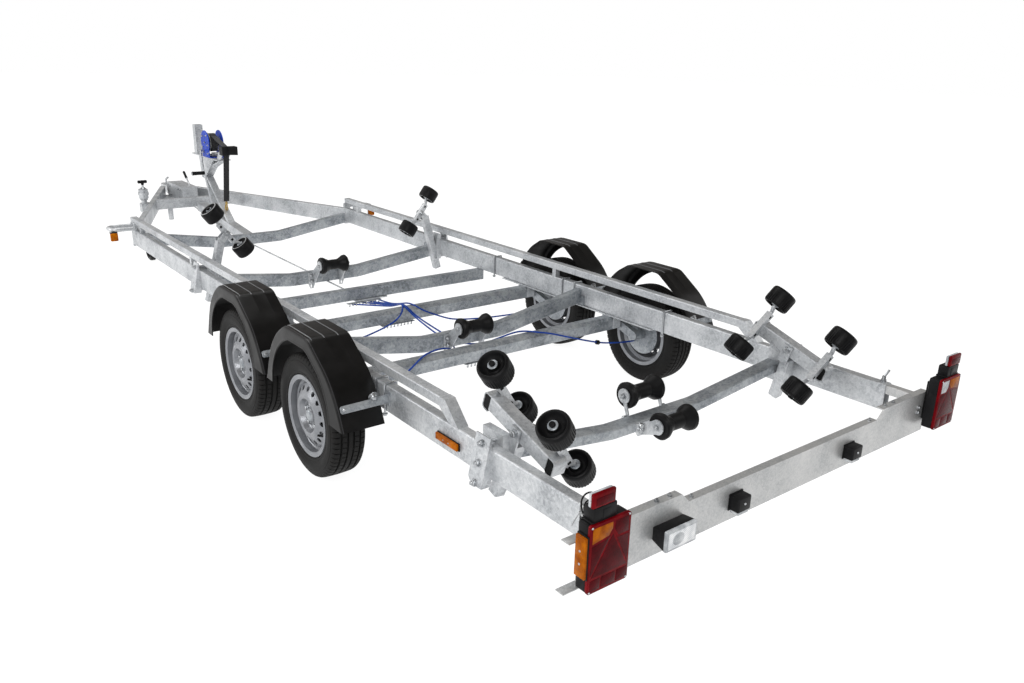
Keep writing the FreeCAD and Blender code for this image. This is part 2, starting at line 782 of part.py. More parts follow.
def make_rim(wheel_y):
    """Right-hand wheel; the outside is towards plus X."""
    t = rim_sheet
    well = rim_well_radius
    barrel = [(-rim_half - 2, rim_flange_radius), (-rim_half + t, rim_flange_radius),
              (-rim_half + t, bead_radius), (-rim_half + 30, bead_radius - 3),
              (-rim_half + 42, well), (rim_half - 42, well),
              (rim_half - 30, bead_radius - 3), (rim_half - t, bead_radius),
              (rim_half - t, rim_flange_radius), (rim_half + 2, rim_flange_radius),
              (rim_half + 2, bead_radius - 4), (rim_half - 28, bead_radius - 7),
              (rim_half - 40, well - t), (-rim_half + 40, well - t),
              (-rim_half + 28, bead_radius - 7), (-rim_half - 2, bead_radius - 4)]
    centre = (wheel_x, wheel_y, tyre_radius)
    rim = turned(barrel, centre, (1, 0, 0))
    crown = disc_crown
    floor = crown - disc_bowl_depth
    crown_r = disc_crown_radius
    bowl_r = disc_bowl_radius
    outside = [(rim_half - 42, well - t), (crown - 26, well - t - 4), (crown - 3, crown_r + 12),
               (crown, crown_r), (crown - 3, bowl_r + 10), (floor + 5, bowl_r),
               (floor, bowl_r - 6), (floor, wheel_bore_radius + 12)]
    inside = [(x - t, r - 1) for x, r in outside[:4]]
    inside += [(crown - 3 - t, bowl_r + 13), (floor + 5 - t, bowl_r + 4),
               (floor - t, bowl_r - 2), (floor - t, wheel_bore_radius + 12)]
    inside[0] = (rim_half - 48, well - t)
    plate = turned(outside + inside[::-1], centre, (1, 0, 0))
    holes = []
    for i in range(vent_count):
        a = 2 * math.pi * i / vent_count
        y = wheel_y + vent_circle_radius * math.cos(a)
        z = tyre_radius + vent_circle_radius * math.sin(a)
        holes.append(rod((wheel_x + crown - 40, y, z), (wheel_x + crown + 10, y, z),
                         vent_radius))
    plate = plate.cut(Part.makeCompound(holes))
    x_face = drum_face_x
    drum = [(x_face - drum_width, drum_radius), (x_face - 20, drum_radius),
            (x_face - 6, bowl_r + 2), (x_face, bowl_r - 8),
            (x_face, wheel_bore_radius), (x_face - 14, wheel_bore_radius),
            (x_face - 14, bowl_r - 8), (x_face - 30, drum_radius - 10),
            (x_face - drum_width, drum_radius - 10)]
    drum = turned(drum, centre, (1, 0, 0))
    hub = turned([(x_face - 14, wheel_bore_radius), (x_face - 14, hub_radius),
                  (x_face + hub_cap_reach - 8, hub_radius),
                  (x_face + hub_cap_reach, hub_radius - 8), (x_face + hub_cap_reach, 0),
                  (x_face + hub_cap_reach - 4, 0),
                  (x_face + hub_cap_reach - 4, wheel_bore_radius)],
                 centre, (1, 0, 0))
    return fuse([rim, plate, drum, hub])


for row, wheel_y in (("front", front_axle_y), ("rear", 0.0)):
    right_rim = make_rim(wheel_y)
    parts["rim_%s_right" % row] = right_rim
    parts["rim_%s_left" % row] = mirrored(right_rim)
    parts["tyre_%s_right" % row] = make_tyre(wheel_x, wheel_y)
    parts["tyre_%s_left" % row] = make_tyre(-wheel_x, wheel_y)

# Mudguards
arch = [(-0.5, 0.0), (-0.438, 0.33), (-0.342, 0.63), (-0.113, 1.0), (0.188, 1.0),
        (0.303, 0.83), (0.392, 0.605), (0.44, 0.383), (0.5, 0.0)]


def arch_points(inset, extra):
    pts = []
    for u, v in arch:
        y = mudguard_shift + u * (mudguard_length - 2 * inset)
        z = mudguard_bottom + v * (mudguard_top - mudguard_bottom - inset)
        pts.append((y, z))
    pts[0] = (pts[0][0], pts[0][1] - extra)
    pts[-1] = (pts[-1][0], pts[-1][1] - extra)
    return pts


def make_mudguard(wheel_y):
    outer = prism_x(arch_points(0, 0), guard_inner_x, guard_outer_x)
    inner = prism_x(arch_points(guard_sheet, 5), guard_inner_x - 1,
                    guard_outer_x - guard_sheet)
    y = guard_opening_shift
    opening = rod((guard_inner_x - 1, y, guard_opening_z),
                  (guard_outer_x + 1, y, guard_opening_z), guard_opening_radius)
    guard = outer.cut(inner).cut(opening)
    guard.translate(vec(0, wheel_y, 0))
    return guard


for side, label in ((1, "right"), (-1, "left")):
    pair = [side_pick(make_mudguard(y), side) for y in (0.0, front_axle_y)]
    parts["mudguards_" + label] = Part.makeCompound(pair)


# Flat stays that carry the mudguards, two for each, bolted to their end faces
def arch_face_y(end, z):
    """Y of the mudguard's end face at height z, and how Y changes with Z there."""
    (u0, v0), (u1, v1) = (arch[0], arch[1]) if end < 0 else (arch[-1], arch[-2])
    height = mudguard_top - mudguard_bottom
    lean = (u1 - u0) * mudguard_length / ((v1 - v0) * height)
    y0 = mudguard_shift + u0 * mudguard_length
    return y0 + (z - mudguard_bottom) * lean, lean


def make_stay(wheel_y, end):
    t = stay_thickness
    z0 = stay_z - stay_height / 2
    z1 = stay_z + stay_height / 2
    y0 = wheel_y + arch_face_y(end, z0)[0]
    y1 = wheel_y + arch_face_y(end, z1)[0]
    bar = prism_x([(y0, z0), (y1, z1), (y1 + end * t, z1), (y0 + end * t, z0)],
                  rail_outer_x, guard_outer_x - stay_inset)
    foot_y = sorted((y0 + end * t, y0 - end * stay_foot))
    foot = soft_box((rail_outer_x, rail_outer_x + t, foot_y[0], foot_y[1], z0 - 14,
                     z1 + 16), 10.0, "x")
    return fuse([bar, foot])


stay_solids = []
for side in (-1, 1):
    for wheel_y in (0.0, front_axle_y):
        for end in (-1, 1):
            stay_solids.append(side_pick(make_stay(wheel_y, end), side))
parts["mudguard_stays"] = Part.makeCompound(stay_solids)


# Side roller pairs
def pair_frame(pivot, slope):
    """Placement: local X outboard-up along the roller axis, local Z to the hull."""
    tilt = FreeCAD.Rotation(vec(0, 1, 0), -side_tilt)
    lean = FreeCAD.Rotation(vec(1, 0, 0), slope)
    return FreeCAD.Placement(vec(*pivot), lean.multiply(tilt))


def make_rocker(drilled):
    """Rocker channel with a cranked spindle at each end, about its own pivot."""
    half = rocker_length / 2
    z = rocker_offset
    channel = box(-half, half, -rocker_depth / 2, rocker_depth / 2,
                  z - rocker_width / 2, z + rocker_width / 2)
    channel = channel.cut(box(-half - 1, half + 1, -rocker_depth / 2 + 5,
                              rocker_depth / 2 - 5, z - rocker_width / 2 - 1,
                              z + rocker_width / 2 - 5))
    pieces = [channel]
    for s in (-1, 1):
        x0 = min(s * half, s * (half - 34))
        pieces.append(box(x0, x0 + 34, -rocker_depth / 2, rocker_depth / 2,
                          z - rocker_width / 2, z + rocker_width / 2))
    top = side_axis_offset
    inner = side_spacing / 2 - side_roller_width / 2
    outer = side_spacing / 2 + side_roller_width / 2 + 6
    for s in (-1, 1):
        pieces.append(swept_rod([(s * (half - 40), 0, z), (s * (half + 10), 0, z),
                                 (s * (inner - 6), 0, top), (s * outer, 0, top)],
                                8.0, side_pin_radius))
    solid = fuse(pieces)
    if drilled:
        solid = solid.cut(rod((0, -rocker_depth, z), (0, rocker_depth, z),
                              rocker_pin_radius + running_clearance))
    return solid


side_bore = side_pin_radius + running_clearance
w = side_roller_width / 2
r = side_roller_radius
c = side_roller_shoulder
side_profile = [(-w, side_bore), (-w + 2, 20.0), (-w + 14, 22.0), (-w + 14, r - 14),
                (-w, r - 12), (-w, r - 8), (-w + c, r), (w - c, r), (w, r - 8),
                (w, r - 12), (w - 14, r - 14), (w - 14, 22.0), (w - 2, 20.0),
                (w, side_bore)]
side_profile[0] = (-w + 2, side_bore)
side_profile[-1] = (w - 2, side_bore)


def make_pair_rollers():
    rollers = []
    for s in (-1, 1):
        rollers.append(turned(side_profile, (s * side_spacing / 2, 0, side_axis_offset),
                              (1, 0, 0)))
    return Part.makeCompound(rollers)


def place(shape, placement):
    moved = shape.copy()
    moved.Placement = placement.multiply(moved.Placement)
    return moved


front_pivot = (front_post_top[0], front_post_y, front_post_top[1])
slope_rad = math.radians(beam_slope)
px, py, pz = rear_post_top
rear_pivots = {}
for key, s in (("a", 1), ("b", -1)):
    rear_pivots[key] = (px, py + s * pair_reach * math.cos(slope_rad),
                        pz + s * pair_reach * math.sin(slope_rad))
rocker = make_rocker(False)
front_rocker = make_rocker(True)
pair_rollers = make_pair_rollers()
for label, side in (("right", 1), ("left", -1)):
    front_place = pair_frame(front_pivot, 0)
    parts["roller_rocker_" + label] = side_pick(place(front_rocker, front_place), side)
    parts["side_rollers_front_" + label] = side_pick(place(pair_rollers, front_place),
                                                     side)
    for key in ("a", "b"):
        frame = pair_frame(rear_pivots[key], beam_slope)
        parts["side_rollers_rear_%s_%s" % (key, label)] = side_pick(
            place(pair_rollers, frame), side)


# Rear rocking beams with their fixed rockers
def make_beam():
    h = beam_half_length
    bw = beam_width / 2
    bh = beam_height / 2
    sleeve = tube_y(-bw, bw, -h, h, -bh, bh, beam_wall, beam_corner)
    bush = rod((-bw, 0, 0), (bw, 0, 0), beam_pin_radius + 8)
    sleeve = fuse([sleeve, bush]).cut(rod((-bw - 1, 0, 0), (bw + 1, 0, 0),
                                          beam_pin_radius + running_clearance))
    lean = FreeCAD.Rotation(vec(1, 0, 0), beam_slope)
    sleeve.Placement = FreeCAD.Placement(vec(*rear_post_top), lean)
    pieces = [sleeve]
    for key in ("a", "b"):
        frame = pair_frame(rear_pivots[key], beam_slope)
        ear = box(-18, 18, -rocker_depth / 2 + 4, rocker_depth / 2 - 4,
                  bh - 6, rocker_offset + rocker_width / 2 - 2)
        pieces.append(place(ear, frame))
        pieces.append(place(rocker, frame))
    return fuse(pieces)


beam = make_beam()
parts["roller_beam_right"] = beam
parts["roller_beam_left"] = mirrored(beam)


# Posts clamped to the rails
def make_clamp(y0, y1):
    """Block inside the rail, and a folded plate that leans away from its outer face."""
    t = clamp_thickness
    z0 = rail_bottom - clamp_drop
    z1 = guard_bottom - 6
    wing_y1 = y0 + clamp_wing_width
    inner = box(rail_inner_x - clamp_block, rail_inner_x, y0, y1, z0, z1)
    lean = math.tan(math.radians(clamp_lean))
    high = rail_outer_x + t
    low = high + (z1 - z0) * lean
    web = prism_y([(rail_outer_x, z1), (high, z1), (low, z0), (rail_outer_x, z0)],
                  y0, y0 + t)
    wing = prism_y([(high, z1), (low, z0), (low - t, z0), (high - t, z1)], y0, wing_y1)
    corner = (low - rail_outer_x) / 2
    wing = wing.cut(prism_x([(wing_y1 + 1, z0 + corner), (wing_y1 + 1, z0 - 1),
                             (wing_y1 - corner, z0 - 1)], rail_outer_x, low + 1))
    pieces = [web, wing, inner]
    for z, y in ((rail_top + clamp_bolt_radius + 6, y0 + clamp_wing_width / 2),
                 (rail_bottom - clamp_bolt_radius - 6, y0 + clamp_wing_width / 2)):
        reach = high + (z1 - z) * lean + 8
        pieces.append(rod((rail_inner_x - 20, y, z), (reach, y, z), clamp_bolt_radius))
    return pieces


def post_tube(length, top):
    """Upright tube from top down, solid for the first 30 mm."""
    s = post_size / 2
    wire = rounded(-s, s, -s, s, post_corner, lambda a, b: vec(a, b, -length))
    stem = Part.Face(wire).extrude(vec(0, 0, length + top))
    i = s - post_wall
    wire = rounded(-i, i, -i, i, post_corner - post_wall, lambda a, b: vec(a, b, -length - 1))
    return stem.cut(Part.Face(wire).extrude(vec(0, 0, length + top - 29)))


def make_front_post():
    """Leaning tube with two cheeks that carry the rocker's pin."""
    lean = math.radians(front_post_lean)
    length = (front_post_top[1] - front_post_bottom) / math.cos(lean)
    s = post_size / 2
    stem = post_tube(length, 0)
    slot = box(-s - 1, s + 1, -s + cheek_thickness, s - cheek_thickness, -22, 60)
    stem = stem.cut(slot)
    turn = FreeCAD.Rotation(vec(0, 1, 0), -front_post_lean)
    stem.Placement = FreeCAD.Placement(vec(*front_pivot), turn)
    tilt = math.radians(side_tilt)
    x, z = front_post_top
    hub_x = x - rocker_offset * math.sin(tilt)
    hub_z = z + rocker_offset * math.cos(tilt)
    across = (cheek_radius * math.cos(tilt), cheek_radius * math.sin(tilt))
    low_z = z - 24 * math.cos(lean)
    low_x = x + 24 * math.sin(lean)
    reach = (s * math.cos(lean), s * math.sin(lean))
    outline = [(low_x + reach[0], low_z + reach[1]), (hub_x + across[0], hub_z + across[1]),
               (hub_x - across[0], hub_z - across[1]), (low_x - reach[0], low_z - reach[1])]
    pieces = [stem]
    for y0 in (front_post_y - s, front_post_y + s - cheek_thickness):
        pieces.append(prism_y(outline, y0, y0 + cheek_thickness))
        pieces.append(rod((hub_x, y0, hub_z), (hub_x, y0 + cheek_thickness, hub_z),
                          cheek_radius))
    pieces.append(rod((hub_x, front_post_y - s - 8, hub_z),
                      (hub_x, front_post_y + s + 8, hub_z), rocker_pin_radius))
    return fuse(pieces)


def make_rear_post():
    """Leaning tube below a yoke that carries the beam's pin."""
    s = post_size / 2
    inside = beam_width / 2 + rocker_play
    base_top = -beam_height / 2 - yoke_drop
    base_bottom = base_top - yoke_base
    stem = post_tube(rear_post_length, base_top - yoke_base / 2)
    yoke = box(-inside - cheek_thickness, inside + cheek_thickness, -s, s, base_bottom,
               base_top)
    pieces = [yoke]
    for sg in (-1, 1):
        x0 = min(sg * inside, sg * (inside + cheek_thickness))
        pieces.append(box(x0, x0 + cheek_thickness, -s, s, base_bottom, 22))
    pieces.append(rod((-inside - cheek_thickness - 6, 0, 0),
                      (inside + cheek_thickness + 6, 0, 0), beam_pin_radius))
    head = fuse(pieces)
    lean = FreeCAD.Rotation(vec(1, 0, 0), beam_slope)
    inward = FreeCAD.Rotation(vec(0, 1, 0), -rear_post_lean)
    head.Placement = FreeCAD.Placement(vec(*rear_post_top), lean)
    stem.Placement = FreeCAD.Placement(vec(*rear_post_top), lean.multiply(inward))
    return fuse([head, stem])


post_solids = []
for side in (-1, 1):
    for post, clamp in ((make_front_post(), front_clamp), (make_rear_post(), rear_clamp)):
        post_solids.append(side_pick(fuse([post] + make_clamp(*clamp)), side))
parts["roller_posts"] = Part.makeCompound(post_solids)

# Overrun housing with its handbrake lever
housing = box(-housing_half_width, housing_half_width, housing_rear_y, housing_front_y,
              housing_bottom, housing_top)
housing = housing.cut(rod((0, housing_front_y - 200, coupling_axis_z),
                          (0, housing_front_y + 1, coupling_axis_z),
                          shaft_radius + 0.3))
lever = swept_rod([(30, housing_rear_y + 90, housing_top - 5),
                   (30, housing_rear_y + 110, housing_top + 20),
                   (30, housing_rear_y + 240, housing_top + 120)], 12.0,
                  lever_rod_radius)
parts["overrun_housing"] = fuse([housing, lever])

# Coupling head on its shaft, with the gaiter around the shaft
head_rear_y = housing_front_y + gaiter_length + 6
head_front_y = head_rear_y + head_length
ball_y = head_front_y - 44
shaft = rod((0, housing_front_y - 190, coupling_axis_z),
            (0, head_rear_y + 30, coupling_axis_z), shaft_radius)
head_body = box(-head_half_width, head_half_width, head_rear_y, ball_y,
                coupling_axis_z - 40, coupling_axis_z + 32)
head_nose = Part.makeCylinder(head_half_width, 72, vec(0, ball_y, coupling_axis_z - 40),
                              vec(0, 0, 1))
handle = swept_rod([(0, ball_y - 30, coupling_axis_z + 28),
                    (0, ball_y - 30, coupling_axis_z + 80),
                    (0, ball_y - 110, coupling_axis_z + 104)], 20.0, 9.0)
head = fuse([shaft, head_body, head_nose, handle])
socket = rod((0, ball_y, coupling_axis_z - 41),
             (0, ball_y, coupling_axis_z - 40 + ball_depth), ball_radius)
parts["coupling_head"] = head.cut(socket)
g = gaiter_radius
gaiter_in = shaft_radius + 0.4
gaiter_y0 = housing_front_y
bellows = [(0, gaiter_in)]
folds = 6
for i in range(folds):
    a0 = 1 + gaiter_length * i / folds
    bellows += [(a0, g - 8), (a0 + gaiter_length / folds / 2, g)]
bellows += [(gaiter_length, g - 8), (gaiter_length, gaiter_in)]
bellows[1] = (0, g - 8)
parts["coupling_gaiter"] = turned(bellows, (0, gaiter_y0, coupling_axis_z), (0, 1, 0))

# Jockey wheel, clamped outside the left drawbar arm
jockey_x = -(arm_outer_x(jockey_y) + jockey_tube_radius + 12)
jockey_axle = (jockey_x, jockey_y - jockey_trail, jockey_wheel_radius)


def make_jockey():
    x, y = jockey_x, jockey_y
    tube = rod((x, y, jockey_tube_bottom), (x, y, jockey_top), jockey_tube_radius)
    bore = jockey_inner_radius + jockey_clearance
    tube = tube.cut(rod((x, y, jockey_tube_bottom - 1), (x, y, jockey_top - 40), bore))
    clamp = box(x - 34, -arm_outer_x(y + 40) - 4, y - 40, y + 40, rail_top - 80, rail_top)
    reach = prism_z([(x - 34, y - 40), (-arm_outer_x(y - 40), y - 40),
                     (-arm_outer_x(y + 40), y + 40), (x - 34, y + 40)],
                    rail_top - 80, rail_top)
    reach = reach.cut(rod((x, y, rail_top - 90), (x, y, rail_top + 10), bore))
    top = fuse([rod((x, y, jockey_top - 90), (x, y, jockey_top - 6), 40.0),
                rod((x, y, jockey_top - 58), (x, y, jockey_top - 34), 46.0)])
    top = top.cut(rod((x, y, jockey_top - 100), (x, y, jockey_top - 40), bore))
    stem = rod((x, y, jockey_top - 6), (x, y, jockey_top + 56), 9.0)
    grip = rod((x - 36, y, jockey_top + 60), (x + 36, y, jockey_top + 60), 13.0)
    outer = fuse([tube, reach, top, stem, grip])
    ax, ay, az = jockey_axle
    inner = rod((x, y, az + 106), (x, y, jockey_top - 44), jockey_inner_radius)
    crown = box(x - 42, x + 42, ay - 28, y + 28, az + 106, az + 114)
    pieces = [inner, crown]
    gap = jockey_wheel_width / 2 + 3
    for s in (-1, 1):
        x0 = x + min(s * gap, s * (gap + 6))
        pieces.append(prism_x([(ay - 22, az - 16), (ay + 22, az - 16), (y + 24, az + 110),
                               (ay - 28, az + 110)], x0, x0 + 6))
    pieces.append(rod((x - gap - 10, ay, az), (x + gap + 10, ay, az), jockey_pin_radius))
    fork = fuse(pieces)
    w = jockey_wheel_width / 2
    r = jockey_wheel_radius
    b = jockey_pin_radius + running_clearance
    wheel = turned([(-w, b), (-w, 24), (-w + 16, 28), (-w + 16, r - 36), (-w + 4, r - 30),
                    (-w, r - 18), (-w + 12, r - 2), (-8, r), (8, r), (w - 12, r - 2),
                    (w, r - 18), (w - 4, r - 30), (w - 16, r - 36), (w - 16, 28),
                    (w, 24), (w, b)], (ax, ay, az), (1, 0, 0))
    return outer, fork, wheel


parts["jockey_outer"], parts["jockey_fork"], parts["jockey_wheel"] = make_jockey()


# Winch post: two legs, head plates, shelf, upright and bow stop arm
def spine_top(y):
    rear_top = front_cross_flat_top - 2
    t = (y - front_cross_front_y) / (bar_rear - front_cross_front_y)
    return rear_top + t * (spine_front_top - rear_top)


def make_winch_post():
    half = leg_width / 2
    pieces = []
    for foot in (leg_front_foot_y, leg_rear_foot_y):
        z = spine_top(foot)
        d = leg_depth / 2
        pieces.append(prism_x([(foot - d - 8, spine_top(foot - d - 8)),
                               (foot + d + 8, spine_top(foot + d + 8)),
                               (post_head_y + d, post_head_z),
                               (post_head_y - d, post_head_z)], -half, half))
    head = prism_x([(post_head_y - 40, post_head_z - 60), (post_head_y + 40, post_head_z - 60),
                    (post_head_y + 80, shelf_z - shelf_thickness),
                    (shelf_rear_y + 150, shelf_z - shelf_thickness)],
                   -half - 5, half + 5)
    head = head.cut(prism_x([(post_head_y - 20, post_head_z - 10),
                             (post_head_y + 60, shelf_z - shelf_thickness + 1),
                             (shelf_rear_y + 190, shelf_z - shelf_thickness + 1)],
                            -half, half))
    shelf = box(-shelf_half_width, shelf_half_width, shelf_rear_y, shelf_front_y,
                shelf_z - shelf_thickness, shelf_z)
    u = upright_size / 2
    uy = shelf_front_y - u
    upright = box(-u, u, uy - u, uy + u, shelf_z - 1, upright_top)
    upright = upright.cut(box(-u + 4, u - 4, uy - u + 4, uy + u - 4, shelf_z + 4,
                              upright_top + 1))
    arm_bar = prism_x([(post_head_y - 30, post_head_z - 10), (post_head_y + 10, post_head_z + 10),
                       (shelf_rear_y + 40, shelf_z - shelf_thickness),
                       (shelf_rear_y, shelf_z - shelf_thickness)], -25, 25)
    stop_front = bow_stop_y + bow_stop_depth / 2
    x0 = strap_width / 2 + carrier_gap
    x1 = x0 + carrier_thickness
    plate = prism_x([(shelf_rear_y + 60, shelf_z - 1), (shelf_rear_y + 60, shelf_z + 20),
                     (guide_pin_y + 20, guide_pin_z + 16), (stop_front, guide_pin_z + 16),
                     (stop_front, bow_stop_z - bow_stop_height / 2 + 8),
                     (shelf_rear_y, shelf_z - 1)], x0, x1)
    guide = rod((-x1 - 4, guide_pin_y, guide_pin_z), (x1 + 4, guide_pin_y, guide_pin_z),
                guide_pin_radius)
    return fuse(pieces + [head, shelf, upright, arm_bar, plate, mirrored(plate), guide])


parts["winch_post"] = make_winch_post()

# Winch frame, drum with the wound strap, and crank
plate_z0 = shelf_z


def make_winch():
    pieces = [box(-winch_half_width, winch_half_width, winch_y - 90, winch_y + 90,
                  plate_z0, plate_z0 + 6)]
    for s in (-1, 1):
        x0 = min(s * winch_half_width, s * (winch_half_width - winch_plate_thickness))
        disc = Part.makeCylinder(winch_plate_radius, winch_plate_thickness,
                                 vec(x0, winch_y, winch_z), vec(1, 0, 0))
        skirt = box(x0, x0 + winch_plate_thickness, winch_y - 90, winch_y + 90,
                    plate_z0, winch_z)
        pieces += [disc, skirt]
    shaft_hole = rod((-100, winch_y, winch_z), (100, winch_y, winch_z),
                     crank_shaft_radius + running_clearance)
    frame = fuse(pieces)
    crank_y = winch_y + 40
    crank_z = winch_z - crank_drop
    crank_hole = rod((-100, crank_y, crank_z), (100, crank_y, crank_z),
                     crank_shaft_radius + running_clearance)
    frame = frame.cut(shaft_hole).cut(crank_hole)
    in_w = winch_half_width - winch_plate_thickness - 2
    drum = rod((-in_w, winch_y, winch_z), (in_w, winch_y, winch_z), drum_core_radius)
    wound = rod((-strap_width / 2, winch_y, winch_z), (strap_width / 2, winch_y, winch_z),
                strap_wound_radius)
    shaft = rod((-winch_half_width - 4, winch_y, winch_z),
                (winch_half_width + 4, winch_y, winch_z), crank_shaft_radius)
    drum = fuse([drum, wound, shaft])
    x1 = winch_half_width + 34
    crank_shaft = rod((-x1, crank_y, crank_z), (in_w, crank_y, crank_z),
                      crank_shaft_radius)
    end = (crank_y - 40, crank_z - crank_arm_length + 40)
    arm = swept_rod([(-x1, crank_y, crank_z), (-x1, end[0], end[1])], 5.0, 8.0)
    grip = rod((-x1 + 6, end[0], end[1]), (-x1 - 110, end[0], end[1]), 15.0)
    return frame, drum, fuse([crank_shaft, arm, grip])


parts["winch_frame"], parts["winch_drum"], parts["winch_crank"] = make_winch()

stop_y0 = bow_stop_y - bow_stop_depth / 2
stop_y1 = bow_stop_y + bow_stop_depth / 2
stop_z0 = bow_stop_z - bow_stop_height / 2
stop_z1 = bow_stop_z + bow_stop_height / 2
stop = prism_z([(-bow_stop_half_width, stop_y0), (-bow_stop_half_width, stop_y1),
                (bow_stop_half_width, stop_y1), (bow_stop_half_width, stop_y0),
                (0, stop_y0 + 34)], stop_z0, stop_z1)
parts["bow_stop"] = stop

# Strap from the drum over the guide pin and down to the hook on the rear leg
pin = vec(0, guide_pin_y, guide_pin_z)
pin_seat = guide_pin_radius + strap_seat
drum_centre = vec(0, winch_y, winch_z)
strap_stop = vec(0, strap_end[0], strap_end[1])


def strap_tangent(point, centre, radius, turn):
    """Unit direction from point to the tangent point on a circle."""
    d = centre - point
    swing = math.asin(radius / d.Length)
    angle = math.atan2(d.z, d.y) + turn * swing
    return vec(0, math.cos(angle), math.sin(angle))


def make_strap():
    d = drum_centre - pin
    rise = math.atan2(d.z, d.y) + math.asin((strap_wound_radius - pin_seat) / d.Length)
    run_dir = vec(0, math.cos(rise), math.sin(rise))
    run_out = vec(0, -math.sin(rise), math.cos(rise))
    fall_dir = strap_tangent(strap_stop, pin, pin_seat, 1)
    fall_out = vec(0, -fall_dir.z, fall_dir.y)
    spread = 1 + run_out.dot(fall_out)
    corner = (run_out + fall_out) * (1 / spread)
    free = math.sqrt((strap_wound_radius + strap_drum_gap) ** 2 - strap_wound_radius ** 2)
    start = drum_centre + run_out * strap_wound_radius - run_dir * free
    bend = pin + corner * pin_seat
    t = strap_thickness
    run = [start, start + run_out * t, pin + corner * (pin_seat + t),
           strap_stop + fall_out * t, strap_stop, bend]
    half = strap_width / 2
    return prism_x([(p.y, p.z) for p in run], -half, half), fall_dir, fall_out


strap, fall_dir, fall_out = make_strap()
parts["winch_strap"] = strap
leg_half = leg_depth / 2
leg_foot = vec(0, leg_rear_foot_y - leg_half - 8, spine_top(leg_rear_foot_y - leg_half - 8))
leg_dir = vec(0, post_head_y - leg_half, post_head_z) - leg_foot
leg_dir.normalize()
leg_out = vec(0, -leg_dir.z, leg_dir.y)
hook_top = strap_stop + fall_out * (strap_thickness / 2)
ring_reach = hook_ring_radius + hook_wire_radius + strap_seat
ring_centre = hook_top - fall_dir * ring_reach
eye_start = leg_out.dot(ring_centre - leg_foot) - leg_out.dot(fall_dir) * hook_ring_radius
eye_radius = (eye_start - hook_wire_radius - strap_seat) / (1 + leg_out.dot(fall_dir))
eye_centre = ring_centre - fall_dir * (hook_ring_radius + eye_radius)
ring = Part.makeTorus(hook_ring_radius, hook_wire_radius, ring_centre, vec(1, 0, 0))
eye = Part.makeTorus(eye_radius, hook_wire_radius, eye_centre, vec(1, 0, 0))
parts["strap_hook"] = fuse([ring, eye])

# Light board on two bars that slide in the rails
slide_half = rail_width / 2 - rail_wall - slide_clearance
slide_top = rail_top - rail_wall - slide_clearance
board_pts = [(-board_half_length, board_bottom), (board_half_length, board_bottom),
             (board_half_length, board_high_top), (board_step_x + 40, board_high_top),
             (board_step_x, board_low_top), (-board_step_x, board_low_top),
             (-board_step_x - 40, board_high_top), (-board_half_length, board_high_top)]
board = prism_y(board_pts, board_y, board_y + board_thickness)
pieces = [board]
for side in (-1, 1):
    high = box(board_step_x + 40, board_half_length, board_y, board_y + board_flange,
               board_high_top - board_thickness, board_high_top)
    pieces.append(side_pick(high, side))
    bar = tube_y(rail_mid_x - slide_half, rail_mid_x + slide_half,
                 board_y + board_thickness, rail_rear_y + slide_inside,
                 slide_top - 2 * slide_half, slide_top, slide_wall, slide_corner)
    pieces.append(side_pick(bar, side))
pieces.append(box(-board_step_x, board_step_x, board_y, board_y + board_flange,
                  board_low_top - board_thickness, board_low_top))
pieces.append(box(-board_half_length, board_half_length, board_y, board_y + board_flange,
                  board_bottom, board_bottom + board_thickness))
parts["light_board"] = fuse(pieces)

def make_tail_lamp():
    """Right-hand lamp: body on its base, side marker, and top marker on a stalk."""
    base = box(*lamp_base)
    body = soft_box(lamp_body, lamp_corner)
    side_marker = soft_box(lamp_side_marker, 4.0, "x")
    stalk = soft_box(lamp_stalk, 8.0, "z")
    top_marker = soft_box(lamp_top_marker, 6.0)
    return fuse([base, body, side_marker, stalk, top_marker])


def loft_box(back, back_y, face, face_y):
    """Tapered housing between two upright rectangles (x0, x1, z0, z1)."""
    wires = []
    for (x0, x1, z0, z1), y in ((back, back_y), (face, face_y)):
        corners = [vec(x0, y, z0), vec(x1, y, z0), vec(x1, y, z1), vec(x0, y, z1)]
        wires.append(Part.makePolygon(corners + corners[:1]))
    return Part.makeLoft(wires, True, True)


tail_lamp = make_tail_lamp()
parts["tail_lamps"] = Part.makeCompound([tail_lamp, mirrored(tail_lamp)])

board_lamps = [loft_box(reverse_lamp_back, board_y, reverse_lamp_face,
                        board_y - reverse_lamp_depth)]
for x0, x1, z0, z1 in plate_lamps:
    board_lamps.append(soft_box((x0, x1, board_y - plate_lamp_depth, board_y, z0, z1),
                                6.0, "x"))
parts["board_lamps"] = Part.makeCompound(board_lamps)

# Amber marker lamps on the lamp loops and the rails
marker_solids = []
for side in (-1, 1):
    x = rail_outer_x + loop_reach - 12
    lamp = box(x - 28, x + 26, loop_rear_y - 26, loop_rear_y + 26,
               loop_z - loop_tube_radius - 66, loop_z - loop_tube_radius)
    low = box(rail_outer_x, rail_outer_x + rail_lamp_depth, *rail_lamp)
    marker_solids += [side_pick(lamp, side), side_pick(low, side)]
parts["marker_lamps"] = Part.makeCompound(marker_solids)

